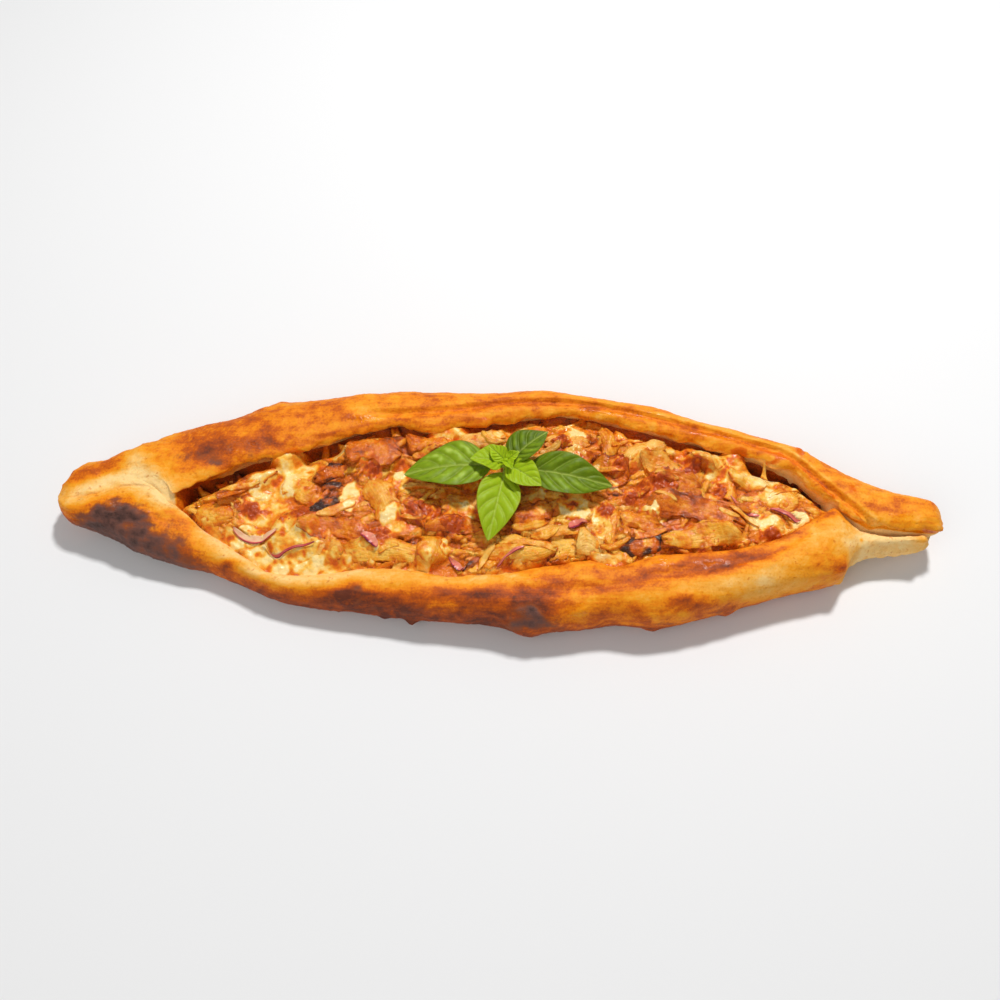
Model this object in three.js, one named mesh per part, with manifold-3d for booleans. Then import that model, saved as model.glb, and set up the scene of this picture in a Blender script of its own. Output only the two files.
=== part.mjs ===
// A Turkish pide with chicken: a long boat of yeasted dough whose two sides are folded in over a bed of
// melted cheese, with roast chicken slices and red onion on the cheese and a sprig of basil in the middle.
//
// Millimetres. +X runs along the boat, +Y is across it, +Z is up, and the boat rests on the plane z = 0
// with the origin under the middle of its box. "Near" is the -Y side and "far" the +Y side.
import * as THREE from "three";
import Module from "manifold-3d";
import { mergeVertices } from "three/addons/utils/BufferGeometryUtils.js";

const wasm = await Module();
wasm.setup();

// ---------------------------------------------------------------- driving dimensions

const LEFT_TIP = -198; // the rounded nose
const RIGHT_TIP = 198; // the end of the far roll
const LOWER_PRONG_TIP = 191; // the end of the near flap, under the far roll
const FORK = 150; // where the two folded sides meet and run on as two prongs
const NOSE_ROUND = 13; // length over which the left nose closes
const PRONG_ROUND = 9; // length over which the prongs close
const CLEARANCE = 0.35; // kept between two pieces that touch

// Each curve is a list of [x, value], joined smoothly.
const NEAR_EDGE = curve([
  [-198, -12], [-186, -15], [-172, -20.5], [-158, -26], [-144, -30], [-128, -33.5], [-112, -39], [-98, -45],
  [-80, -49.5], [-55, -52], [-30, -54.5], [-4, -56], [14, -59.2], [34, -57.5], [52, -55], [68, -56], [90, -51],
  [110, -44.5], [130, -38], [145, -34.5], [152, -31], [158, -24.5], [168, -20], [180, -18.6], [192, -17.5],
]);
const FAR_EDGE = curve([
  [-198, 9], [-188, 17], [-175, 20.5], [-160, 27.5], [-145, 35], [-125, 40.5], [-105, 49.5], [-85, 52], [-60, 56],
  [-30, 57.6], [0, 57.3], [20, 59.8], [45, 56], [70, 52], [95, 44], [120, 37], [138, 31], [150, 23], [162, 15.5],
  [175, 10], [187, 6.5], [198, 5],
]);
const NEAR_LIP = curve([
  [-143, -8.2], [-137, -12], [-130, -18], [-120, -25.5], [-108, -30.5], [-92, -34.5], [-70, -35.2], [-44, -34.6],
  [-20, -38.6], [0, -37.4], [20, -33.5], [38, -30.6], [52, -32.6], [70, -27.2], [90, -25.4], [110, -22],
  [125, -16.5], [137, -9.5], [149, -1.6],
]);
const FAR_LIP = curve([
  [-143, -5.4], [-130, 1.5], [-112, 11.5], [-95, 16.8], [-80, 24], [-65, 29.5], [-45, 34.5], [-34, 31], [-15, 34.5],
  [5, 38.5], [25, 41.8], [45, 41], [60, 36.5], [80, 32], [100, 26.5], [120, 21], [133, 15.5], [142, 5.5], [149, 0.6],
]);
// Where the sides have met they leave a seam.
const SEAM = curve([
  [-190, -4.5], [-177, 2], [-164, 4.4], [-154, 0.4], [-143, -6.8], [0, 0], [149, -0.6], [154, -5], [160, -9.4],
  [168, -11.6], [180, -12.4], [192, -12.4],
]);
const NEAR_TOP = curve([
  [-198, 19], [-175, 21.5], [-155, 21], [-140, 18.6], [-120, 16.4], [-95, 16.6], [-70, 18.4], [-40, 20.6], [0, 22.4],
  [40, 24], [80, 25], [120, 25.4], [147, 26], [158, 21.5], [170, 17.4], [191, 16.4],
]);
const FAR_TOP = curve([
  [-198, 19], [-180, 22.6], [-155, 24.5], [-125, 26.5], [-80, 27.6], [0, 28.4], [60, 27.6], [110, 26.6], [150, 27],
  [175, 25.8], [198, 24],
]);
const SOLE = curve([
  [-198, 9], [-185, 5], [-168, 1.8], [-150, 0], [-149, 0], [134, 0], [135, 0], [150, 1.6], [165, 4.6], [180, 7.2],
  [198, 9],
]);
// How far the inner wall runs back under the lip; below zero it slopes inwards instead.
const NEAR_UNDERCUT = curve([
  [-145, 0], [-125, -4], [-95, -5], [-60, -3], [-25, 0.5], [20, 2.4], [120, 2.4], [149, 0.4],
]);
const FAR_UNDERCUT = curve([[-145, 0.5], [-130, 4.4], [-90, 5], [-40, 4], [60, 3.4], [110, 3.4], [135, 2], [149, 0.4]]);
const SEAM_DEPTH = curve([[-190, 1.2], [-160, 1.6], [-146, 2], [148, 9], [156, 7.4], [192, 6]]);
const SEAM_HALF_WIDTH = curve([[-190, 2.4], [-150, 1.6], [-143, 1.2], [149, 0.9], [160, 0.6], [192, 0.5]]);
const FLOOR = 6; // thickness of the dough under the filling

// Creases that the folded dough leaves along the rims: [x, y] lines, each pressed in from above.
const CREASES = [
  { line: curve([[2, -45.6], [27, -45.4], [44, -43.8], [61, -40.4], [79, -36.8], [105, -30.8], [123, -23.8],
    [140, -12.4]]), from: -4, to: 143, depth: 1.7, width: 2.2 },
  { line: curve([[-62, 39.6], [-28, 42], [-10, 45], [18, 48.6], [46, 47], [92, 36.5], [110, 30.6], [132, 24.4],
    [144, 14.6], [155, 1.6], [163, -8]]), from: -66, to: 163, depth: 1.9, width: 2.0 },
];

// Blisters and lumps on the crust: centre, radius and how far they swell.
const BLISTERS = [
  { at: [14, -56, 8], radius: 9, swell: 2.4 },
  { at: [-36, -54, 5], radius: 3.4, swell: 3.0 },
  { at: [-48, -52, 5], radius: 3, swell: 1.4 },
  { at: [68, -55, 6], radius: 5, swell: 1.6 },
  { at: [101, -48, 5], radius: 5, swell: 2.0 },
  { at: [152, -31, 9], radius: 4, swell: 1.8 },
  { at: [-165, -20, 15], radius: 8, swell: 2.2 },
  { at: [-150, -26, 14], radius: 6, swell: 1.6 },
  { at: [-104, 48, 18], radius: 6, swell: 1.6 },
  { at: [22, 58, 20], radius: 5, swell: 1.4 },
  { at: [68, 52, 18], radius: 4, swell: 1.8 },
  { at: [139, 30, 18], radius: 5, swell: 2.4 },
];

// Chicken slices: middle x and y, heading in degrees, length, width, thickness and sideways bow.
const SLICES = [
  [-125, -11, -10, 17, 11, 2.6, 0], [-112, 2.5, 34, 29, 7, 2.4, 1], [-88, 2, -28, 18, 13, 2.4, 1],
  [-82, -8, 26, 26, 8, 2.6, -3], [-91, -21, 10, 15, 13, 2.2, 0], [-76, 9, 32, 15, 8, 2.4, 2],
  [-72, -19, -6, 30, 11, 2.6, 2], [-53, -3, -62, 22, 12, 2.8, 2], [-57, 21, -8, 26, 14, 3.0, 0],
  [-48, -29, -2, 43, 10, 2.6, -5], [-74, -29.5, -20, 16, 10, 2.0, 0], [-28, -27, 82, 15, 12, 3.0, 0],
  [-32, -10, -16, 22, 14, 2.8, 1], [-14, -7, 14, 22, 11, 2.4, 2], [21, -24, -7, 39, 12, 3.0, -3],
  [8, -31, -10, 36, 7, 2.4, 2], [29, -16, 6, 30, 7, 2.2, -1], [15, -9, 28, 19, 12, 2.8, 0],
  [50, -15, 80, 19, 6, 2.4, 1], [40, -25, 10, 12, 11, 2.8, 0], [31, 29, 2, 21, 9, 2.4, 2],
  [66, 24, 30, 24, 8, 2.2, 1], [79, 17.5, -6, 32, 13, 2.8, -2], [49, 28, -80, 18, 7, 2.4, 1],
  [50, 13, -22, 18, 13, 3.2, 0], [77, 5, 2, 27, 13, 2.8, 1], [87, -8, -13, 44, 12, 3.2, 3],
  [65, -23, 2, 24, 9, 3.0, 0], [89, -20, 4, 36, 10, 2.6, 1], [62, -11, -12, 17, 9, 2.4, 0],
  [125, 3, -12, 18, 11, 2.6, 0], [118, -14, 14, 17, 9, 2.4, 0], [95, 22, 8, 16, 9, 2.2, 0],
  [-8, 27, 12, 22, 10, 2.4, 1], [-18, -17, 4, 27, 7, 2.4, 1], [104, 8, 84, 18, 7, 2.4, 0],
  [-33, 27, -14, 20, 8, 2.4, 1], [-28, 12, 20, 24, 9, 2.4, 1], [112, 12, -24, 18, 8, 2.2, 0],
];
// Red onion: middle x and y, heading, length of the arc, width and bow.
const ONIONS = [
  [-106, -19, -6, 20, 3.4, -4], [-90, -31, 24, 25, 2.4, 2.4], [-55, -25, -38, 9, 4.2, 1], [-17, -35, -48, 10, 3.4, 0.8],
  [6, -37, -14, 12, 3.0, -1.4], [35, -15, 24, 9, 4.0, 0.8], [109, -3, -34, 15, 3.2, -2], [127, -7, -28, 15, 3.4, 1],
];

// The basil: the height at which each leaf leaves the stem, the share of its length that is stalk, its tip
// in x, y, z, then its width, its roll in degrees and how far its edges turn up.
const LEAVES = [
  { foot: 30.5, blade: 0.14, tip: [-42, 6.6, 27], width: 25, roll: 8, cup: 1.4 },
  { foot: 30, blade: 0.2, tip: [50.3, 3.2, 27.5], width: 20, roll: 8, cup: 1.6 },
  { foot: 31, blade: 0.1, tip: [21.4, 25.6, 36], width: 17, roll: -14, cup: 2 },
  { foot: 30.5, blade: 0.1, tip: [-4, -25.4, 27], width: 19, roll: -6, cup: 2 },
  { foot: 33.5, blade: 0.06, tip: [-11.4, 9.9, 35.5], width: 10, roll: 6, cup: 1.4 },
  { foot: 33, blade: 0.06, tip: [17.5, -0.6, 34], width: 12, roll: 8, cup: 1.4 },
];
const STEM = { at: [3, 10], from: 26.5, to: 34.5, radius: 1.3 };
const BUD = { middle: 35.6, size: [4.2, 3.8, 4.6] };

// ---------------------------------------------------------------- helpers

// A smooth function through [x, value] points, flat beyond both ends.
function curve(points) {
  const slope = (i) => {
    const a = points[Math.max(i - 1, 0)];
    const b = points[Math.min(i + 1, points.length - 1)];
    return (b[1] - a[1]) / (b[0] - a[0]);
  };
  return (x) => {
    if (x <= points[0][0]) return points[0][1];
    const last = points.length - 1;
    if (x >= points[last][0]) return points[last][1];
    let i = 0;
    while (x > points[i + 1][0]) i++;
    const [x0, y0] = points[i];
    const [x1, y1] = points[i + 1];
    const h = x1 - x0;
    const t = (x - x0) / h;
    const u = 1 - t;
    return (
      y0 * u * u * (1 + 2 * t) + y1 * t * t * (3 - 2 * t) + slope(i) * h * t * u * u - slope(i + 1) * h * t * t * u
    );
  };
}

const lerp = (a, b, t) => a + (b - a) * t;
const clamp01 = (t) => Math.min(1, Math.max(0, t));
const smooth = (from, to, x) => {
  const t = clamp01((x - from) / (to - from));
  return t * t * (3 - 2 * t);
};

// A closed cubic B-spline through the middle of its control points, sampled evenly.
function closedSpline(points, samples) {
  const n = points.length;
  return Array.from({ length: samples }, (_, k) => {
    const u = (k / samples) * n;
    const i = Math.floor(u);
    const t = u - i;
    const weights = [(1 - t) ** 3, 3 * t ** 3 - 6 * t ** 2 + 4, -3 * t ** 3 + 3 * t ** 2 + 3 * t + 1, t ** 3];
    return points[0].map((_, axis) =>
      weights.reduce((sum, w, m) => sum + (w / 6) * points[(i + m - 1 + n) % n][axis], 0),
    );
  });
}

// A closed body over a list of equal rings of [x, y, z] points, its two ends shut by fans.
function loft(rings) {
  const size = rings[0].length;
  const vertices = rings.flat();
  const triangles = [];
  for (let i = 0; i + 1 < rings.length; i++) {
    for (let j = 0; j < size; j++) {
      const a = i * size + j;
      const b = i * size + ((j + 1) % size);
      triangles.push(a, a + size, b, b, a + size, b + size);
    }
  }
  const fan = (ring, offset, turned) => {
    const hub = vertices.length;
    vertices.push([0, 1, 2].map((axis) => ring.reduce((sum, p) => sum + p[axis], 0) / size));
    for (let j = 0; j < size; j++) {
      const a = offset + j;
      const b = offset + ((j + 1) % size);
      triangles.push(...(turned ? [hub, b, a] : [hub, a, b]));
    }
  };
  fan(rings[0], 0, false);
  fan(rings[rings.length - 1], (rings.length - 1) * size, true);
  return solid(vertices, triangles);
}

// A closed body between an upper and a lower grid of points, with a wall round their edge.
function slabBetween(upper, lower) {
  const rows = upper.length;
  const columns = upper[0].length;
  const count = rows * columns;
  const vertices = [...upper.flat(), ...lower.flat()];
  const triangles = [];
  const quad = (a, b, c, d) => triangles.push(a, b, c, a, c, d);
  for (let i = 0; i + 1 < rows; i++) {
    for (let j = 0; j + 1 < columns; j++) {
      const a = i * columns + j;
      quad(a, a + columns, a + columns + 1, a + 1);
      quad(count + a, count + a + 1, count + a + columns + 1, count + a + columns);
    }
  }
  const border = [];
  for (let j = 0; j + 1 < columns; j++) border.push(j);
  for (let i = 0; i + 1 < rows; i++) border.push(i * columns + columns - 1);
  for (let j = columns - 1; j > 0; j--) border.push((rows - 1) * columns + j);
  for (let i = rows - 1; i > 0; i--) border.push(i * columns);
  border.forEach((a, k) => {
    const b = border[(k + 1) % border.length];
    quad(a, b, count + b, count + a);
  });
  return solid(vertices, triangles);
}

function solid(vertices, triangles) {
  const geometry = new THREE.BufferGeometry();
  geometry.setAttribute("position", new THREE.Float32BufferAttribute(vertices.flat(), 3));
  geometry.setIndex(triangles);
  const merged = mergeVertices(geometry, 1e-3);
  const made = new wasm.Manifold(
    new wasm.Mesh({
      numProp: 3,
      vertProperties: new Float32Array(merged.attributes.position.array),
      triVerts: new Uint32Array(merged.index.array),
    }),
  );
  if (made.volume() >= 0) return made;
  const turned = [];
  for (let k = 0; k < triangles.length; k += 3) turned.push(triangles[k], triangles[k + 2], triangles[k + 1]);
  return solid(vertices, turned);
}

function meshOf(name, body, material) {
  const { vertProperties, triVerts, numProp, numVert } = body.getMesh();
  const positions = new Float32Array(numVert * 3);
  for (let i = 0; i < numVert; i++) positions.set(vertProperties.subarray(i * numProp, i * numProp + 3), i * 3);
  const geometry = new THREE.BufferGeometry();
  geometry.setAttribute("position", new THREE.BufferAttribute(positions, 3));
  geometry.setIndex([...triVerts]);
  geometry.computeVertexNormals();
  const mesh = new THREE.Mesh(geometry, material);
  mesh.name = name;
  return mesh;
}

// A repeatable stream of numbers from 0 to 1.
function seeded(seed) {
  let state = seed;
  return () => {
    state = (state * 1664525 + 1013904223) % 4294967296;
    return state / 4294967296;
  };
}

// ---------------------------------------------------------------- the dough

const OPENING = { left: -143, right: 149 };
const CORNER_RUN = 8; // length over which the cavity reaches its full depth

const middleOf = (x) =>
  x < OPENING.left || x > OPENING.right ? SEAM(x) : (NEAR_LIP(x) + FAR_LIP(x)) / 2;
const halfGapOf = (x) =>
  x < OPENING.left || x > OPENING.right ? SEAM_HALF_WIDTH(x) : (FAR_LIP(x) - NEAR_LIP(x)) / 2;
const openness = (x) =>
  smooth(OPENING.left, OPENING.left + CORNER_RUN, x) * smooth(OPENING.right, OPENING.right - CORNER_RUN, x);

// Half of the cross-section on one side, from the sole up the wall, over the rim and down to the floor.
function halfSection(x, side) {
  const near = side < 0;
  const edge = near ? NEAR_EDGE(x) : FAR_EDGE(x);
  const top = near ? NEAR_TOP(x) : FAR_TOP(x);
  const undercut = near ? NEAR_UNDERCUT(x) : FAR_UNDERCUT(x);
  const sole = Math.max(0, SOLE(x));
  const height = top - sole;
  const lip = middleOf(x) + side * halfGapOf(x);
  const centre = (NEAR_EDGE(x) + FAR_EDGE(x)) / 2;
  const floor = lerp(top - SEAM_DEPTH(x), sole + FLOOR, openness(x));
  const depth = top - floor;
  const lipDrop = Math.min(4.5, 0.5 * depth);
  const underDrop = Math.min(8.5, 0.75 * depth);
  const wall = lip + side * undercut;
  const foot = lip + side * (undercut > 0 ? undercut : 2 * undercut);
  return {
    floor,
    points: [
      [lerp(edge, centre, 0.62), sole],
      [lerp(edge, centre, 0.13), sole],
      [edge - side * 0.3, sole + 0.22 * height],
      [edge + side * 0.9, sole + 0.5 * height],
      [edge - side * 1.4, sole + 0.84 * height],
      [lerp(edge, lip, 0.36), top + 0.5],
      [lerp(edge, lip, 0.74), top + 0.8],
      [lip + side * 0.1, top - 0.45 * lipDrop],
      [lip, top - lipDrop],
      [wall, top - underDrop],
      [foot, floor + 0.18 * depth],
      [lerp(foot, middleOf(x), 0.3), floor],
    ],
  };
}

// The rounded ends: how much of its full size a section keeps.
const roundEnd = (distance, run) => Math.sqrt(Math.max(0.02, 1 - (1 - clamp01(distance / run)) ** 2));

// The control points of the section at station x, as [x, y, z]; past the fork the two sides end separately.
function sectionControls(x) {
  const near = halfSection(x, -1);
  const far = halfSection(x, 1);
  const share = clamp01((x - FORK) / (RIGHT_TIP - FORK));
  const reach = { near: lerp(FORK, LOWER_PRONG_TIP, share), far: lerp(FORK, RIGHT_TIP, share) };
  if (x < FORK) reach.near = reach.far = x;
  const between = (reach.near + reach.far) / 2;
  const centre = (NEAR_EDGE(x) + FAR_EDGE(x)) / 2;
  const ring = [
    [between, centre, SOLE(x)],
    ...near.points.map(([y, z]) => [reach.near, y, z]),
    [between, middleOf(x), (near.floor + far.floor) / 2],
    ...far.points.reverse().map(([y, z]) => [reach.far, y, z]),
  ];
  return ring.map(([px, y, z], k) => {
    const nearLobe = k > 0 && k <= 12;
    const farLobe = k > 13;
    let hub = [centre, (SOLE(x) + FAR_TOP(x)) / 2];
    if (x > 0) {
      const edge = nearLobe ? NEAR_EDGE(x) : FAR_EDGE(x);
      const top = nearLobe ? NEAR_TOP(x) : FAR_TOP(x);
      if (nearLobe || farLobe) hub = [(edge + SEAM(x)) / 2, (SOLE(x) + top) / 2];
    }
    const keep = x > 0 ? roundEnd(RIGHT_TIP - x, PRONG_ROUND) : roundEnd(x - LEFT_TIP, NOSE_ROUND);
    return [px, lerp(hub[0], y, keep), lerp(hub[1], z, keep)];
  });
}

function dress(point, ring) {
  const [x, y, z] = point;
  const centre = [0, 1, 2].map((axis) => ring.reduce((sum, p) => sum + p[axis], 0) / ring.length);
  let [dy, dz] = [0, 0];
  for (const crease of CREASES) {
    const along = smooth(crease.from, crease.from + 14, x) * smooth(crease.to, crease.to - 10, x);
    const onTop = smooth(12, 17, z);
    dz -= crease.depth * along * onTop * Math.exp(-(((y - crease.line(x)) / crease.width) ** 2));
  }
  for (const { at, radius, swell } of BLISTERS) {
    const distance = Math.hypot(x - at[0], y - at[1], z - at[2]);
    const amount = swell * Math.exp(-(((1.5 * distance) / radius) ** 2));
    const [outY, outZ] = [y - centre[1], Math.max(0, z - centre[2])];
    const length = Math.hypot(outY, outZ) || 1;
    dy += (amount * outY) / length;
    dz += (amount * outZ) / length;
  }
  return [x, y + dy, z + dz];
}

const SECTION_SAMPLES = 36;
function crustRing(x) {
  const ring = closedSpline(sectionControls(x), SECTION_SAMPLES);
  return ring.map((point) => dress(point, ring));
}

// Stations along the boat, closer together where the ends and the corners of the opening turn.
function stations() {
  const steps = [
    [-198, -194, 5], [-194, -184, 4], [-184, -148, 5], [-148, -134, 6], [-134, 134, 26], [134, 152, 7],
    [152, 186, 8], [186, 198, 6],
  ];
  const list = steps.flatMap(([from, to, count]) =>
    Array.from({ length: count }, (_, k) => lerp(from, to, k / count)),
  );
  return [...list, RIGHT_TIP];
}

function makeCrust() {
  return loft(stations().map(crustRing));
}

// ---------------------------------------------------------------- the filling

const BED_DROP_NEAR = curve([[-142, 4], [-110, 2.4], [-60, 2.8], [-20, 4], [30, 5.5], [147, 7]]);
const BED_DROP_FAR = 12;
const BED_CROWN = 3;

// Height of the melted cheese over the plate, with slow lumps.
function bedTop(x, y) {
  const across = clamp01((y - NEAR_LIP(x)) / (FAR_LIP(x) - NEAR_LIP(x)));
  const edge = lerp(NEAR_TOP(x) - BED_DROP_NEAR(x), FAR_TOP(x) - BED_DROP_FAR, across);
  const crown = BED_CROWN * 4 * across * (1 - across) * openness(x);
  const lumps = 0.8 * Math.sin(x / 7.3 + 1.7 * Math.sin(y / 9.1)) * Math.cos(y / 6.1 + Math.sin(x / 11.3));
  return edge + crown + lumps * smooth(0, 0.25, across) * smooth(1, 0.75, across);
}

const BED_ENDS = { left: -138, right: 143 };
const BED_ACROSS = 11; // points across the cheese's surface
const BED_GAP = 3 * CLEARANCE; // between the cheese and the dough's inner wall
const FIRST_UNDER_LIP = 0.35; // share of the section at which the cavity starts, on the near side

// The bed's section: the cavity's own wall moved inwards, shut by the cheese's surface.
function bedRing(x) {
  const ring = crustRing(x);
  const from = Math.round(FIRST_UNDER_LIP * SECTION_SAMPLES);
  const to = SECTION_SAMPLES - from + 1;
  const hollow = ring.slice(from, to + 1);
  const moved = hollow.map((point, k) => {
    const before = hollow[Math.max(k - 1, 0)];
    const after = hollow[Math.min(k + 1, hollow.length - 1)];
    const [ty, tz] = [after[1] - before[1], after[2] - before[2]];
    const length = Math.hypot(ty, tz);
    return [x, point[1] - (tz / length) * BED_GAP, point[2] + (ty / length) * BED_GAP];
  });
  const [start, end] = [moved[0], moved[moved.length - 1]];
  const top = Array.from({ length: BED_ACROSS }, (_, k) => {
    const share = (k + 1) / (BED_ACROSS + 1);
    const y = lerp(end[1], start[1], share);
    const rise = smooth(0, 0.14, share) * smooth(1, 0.7, share);
    return [x, y, lerp(lerp(end[2], start[2], share), bedTop(x, y), rise)];
  });
  return [...moved, ...top];
}

// A grid of heights over the filling, on which each new piece is laid.
const CELL = 1;
const GRID = { x: -150, y: -50, columns: 305, rows: 100 };
const heights = new Float64Array(GRID.columns * GRID.rows);

function cellOf(x, y) {
  const column = Math.min(GRID.columns - 1, Math.max(0, Math.round((x - GRID.x) / CELL)));
  const row = Math.min(GRID.rows - 1, Math.max(0, Math.round((y - GRID.y) / CELL)));
  return row * GRID.columns + column;
}

// Raises the grid to the upper faces of a grid of points.
function raise(upper) {
  const parts = 8;
  for (let i = 0; i + 1 < upper.length; i++) {
    for (let j = 0; j + 1 < upper[0].length; j++) {
      const corners = [upper[i][j], upper[i + 1][j], upper[i][j + 1], upper[i + 1][j + 1]];
      for (let a = 0; a <= parts; a++) {
        for (let b = 0; b <= parts; b++) {
          const [x, y, z] = [0, 1, 2].map((axis) =>
            lerp(
              lerp(corners[0][axis], corners[1][axis], a / parts),
              lerp(corners[2][axis], corners[3][axis], a / parts),
              b / parts,
            ),
          );
          const cell = cellOf(x, y);
          heights[cell] = Math.max(heights[cell], z);
        }
      }
    }
  }
}

const DRAPE = 2; // reach over which a soft piece follows what is under it
const STIFFNESS = 0.8; // 0 follows the mean of what is under it, 1 the highest of it
function restHeight(x, y) {
  let [sum, highest, count] = [0, 0, 0];
  for (let dx = -DRAPE; dx <= DRAPE; dx++) {
    for (let dy = -DRAPE; dy <= DRAPE; dy++) {
      if (dx * dx + dy * dy > DRAPE * DRAPE) continue;
      const z = heights[cellOf(x + dx, y + dy)];
      sum += z;
      highest = Math.max(highest, z);
      count++;
    }
  }
  return lerp(sum / count, highest, STIFFNESS);
}

const RIM_GAP = 2.2; // kept between a piece and the lips
// How far a point has to move across the boat to lie between the lips.
const pushIn = (x, y) => Math.max(0, NEAR_LIP(x) + RIM_GAP - y) - Math.max(0, y - FAR_LIP(x) + RIM_GAP);

// A soft strip laid on what is under it: returns its upper and lower grids.
function strip([x, y, heading, length, width, thickness, bow], along, across) {
  const turn = THREE.MathUtils.degToRad(heading);
  const [upper, lower] = [[], []];
  for (let i = 0; i <= along; i++) {
    const s = (2 * i) / along - 1;
    const taper = lerp(0.45, 1, Math.sqrt(1 - s ** 4)) * (1 + 0.12 * Math.sin(5 * s + x));
    const row = Array.from({ length: across + 1 }, (_, j) => {
      const t = (2 * j) / across - 1;
      const forward = (s * length) / 2;
      const sideways = (t * width * taper) / 2 + bow * (1 - s * s);
      return {
        t,
        px: x + forward * Math.cos(turn) - sideways * Math.sin(turn),
        py: y + forward * Math.sin(turn) + sideways * Math.cos(turn),
      };
    });
    const shift = pushIn(row[0].px, row[0].py) + pushIn(row[across].px, row[across].py);
    const rowUp = [];
    const rowDown = [];
    for (const { t, px, py } of row) {
      const rest = restHeight(px, py + shift);
      const fullness = (1 - 0.4 * t * t) * (1 - 0.35 * s ** 6);
      rowUp.push([px, py + shift, rest + thickness * fullness]);
      rowDown.push([px, py + shift, rest]);
    }
    upper.push(rowUp);
    lower.push(rowDown);
  }
  return { upper, lower };
}

const lifted = (grid, by) => grid.map((row) => row.map(([x, y, z]) => [x, y, z + by]));

const LIFT_STEP = 0.25;
const SURE_REACH = 3; // added to two pieces' half lengths, so that none that could touch is missed
const placed = [];

// Raises a strip until it is clear of all that is there, then by the clearance, and remembers it.
function lay(piece, along, across) {
  const { upper, lower } = strip(piece, along, across);
  const [x, y, , reach] = piece;
  const isClose = (other) => Math.hypot(other.x - x, other.y - y) < (other.reach + reach) / 2 + SURE_REACH;
  const close = placed.filter(isClose);
  let lift = 0;
  const touches = ({ body }) => body.intersect(slabBetween(lifted(upper, lift), lifted(lower, lift))).volume() > 1e-3;
  while (close.some(touches)) lift += LIFT_STEP;
  lift += CLEARANCE;
  const body = slabBetween(lifted(upper, lift), lifted(lower, lift));
  raise(lifted(upper, lift));
  placed.push({ x, y, reach, body });
  return body;
}

const SHREDS = 44;
const SHRED_SUNK = 1.4;
// The cheese with the small shreds of chicken that are baked into it.
function makeBed() {
  const xs = stations().filter((x) => x > BED_ENDS.left && x < BED_ENDS.right);
  const rings = xs.map(bedRing);
  let bed = loft(rings);
  for (let x = xs[0]; x < xs[xs.length - 1]; x += CELL / 2) {
    for (let y = NEAR_LIP(x) - 2; y < FAR_LIP(x) + 2; y += CELL / 2) heights[cellOf(x, y)] = bedTop(x, y);
  }
  const random = seeded(7);
  const shreds = [];
  for (let k = 0; k < SHREDS; k++) {
    const x = lerp(xs[0] + 20, xs[xs.length - 1] - 16, (k + 0.6 * random()) / SHREDS);
    const y = lerp(NEAR_LIP(x) + 8, FAR_LIP(x) - 8, (k * 0.618 + 0.1 * random()) % 1);
    const piece = [x, y, 360 * random(), 9 + 6 * random(), 4.5 + 2 * random(), 3.2, 0];
    const { upper, lower } = strip(piece, 3, 1);
    shreds.push(lifted(upper, -SHRED_SUNK));
    bed = bed.add(slabBetween(lifted(upper, -SHRED_SUNK), lifted(lower, -SHRED_SUNK)));
  }
  shreds.forEach(raise);
  return bed;
}

// ---------------------------------------------------------------- the basil

const STALK_HALF_WIDTH = 0.7;
const LEAF_THICKNESS = 0.7;

function makeLeaf({ foot, blade, tip, width, roll, cup }) {
  const [start, end] = [new THREE.Vector3(...STEM.at, foot), new THREE.Vector3(...tip)];
  const forward = end.clone().sub(start);
  const length = forward.length();
  forward.normalize();
  const side = new THREE.Vector3(0, 0, 1).cross(forward).normalize();
  side.applyAxisAngle(forward, THREE.MathUtils.degToRad(roll));
  const up = forward.clone().cross(side);
  const [along, across] = [10, 4];
  const grid = (offset) =>
    Array.from({ length: along + 1 }, (_, i) => {
      const s = i / along;
      const onBlade = clamp01((s - blade) / (1 - blade));
      const full = Math.sin(Math.PI * onBlade ** 0.82) ** 0.8 * (1 - 0.18 * onBlade);
      const halfWidth = Math.max(STALK_HALF_WIDTH, (width / 2) * full);
      const arch = 0.09 * length * Math.sin(Math.PI * s);
      return Array.from({ length: across + 1 }, (_, j) => {
        const t = (2 * j) / across - 1;
        const wave = 0.6 * Math.sin(9 * s + 2 * t) * Math.abs(t) * full;
        const rise = arch + cup * Math.abs(t) ** 1.4 * full + wave + offset;
        return start
          .clone()
          .addScaledVector(forward, s * length)
          .addScaledVector(side, t * halfWidth)
          .addScaledVector(up, rise)
          .toArray();
      });
    });
  return slabBetween(grid(LEAF_THICKNESS), grid(0));
}

// A three.js geometry, moved to its place, as a manifold.
function placedSolid(geometry, move) {
  geometry.deleteAttribute("normal").deleteAttribute("uv");
  geometry.translate(...move);
  const merged = mergeVertices(geometry, 1e-3);
  const points = merged.attributes.position;
  const vertices = Array.from({ length: points.count }, (_, k) => [points.getX(k), points.getY(k), points.getZ(k)]);
  return solid(vertices, [...merged.index.array]);
}

// The sprig is one plant: a short stem with a bud on top, and leaves that grow from the stem.
function makeSprig() {
  const stem = new THREE.CylinderGeometry(STEM.radius, 0.8 * STEM.radius, STEM.to - STEM.from, 8);
  stem.rotateX(Math.PI / 2);
  const bud = new THREE.IcosahedronGeometry(0.5, 1).scale(...BUD.size);
  return [
    placedSolid(bud, [...STEM.at, BUD.middle]),
    ...LEAVES.map(makeLeaf),
  ].reduce((sprig, piece) => sprig.add(piece), placedSolid(stem, [...STEM.at, (STEM.from + STEM.to) / 2]));
}

// ---------------------------------------------------------------- the whole

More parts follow.
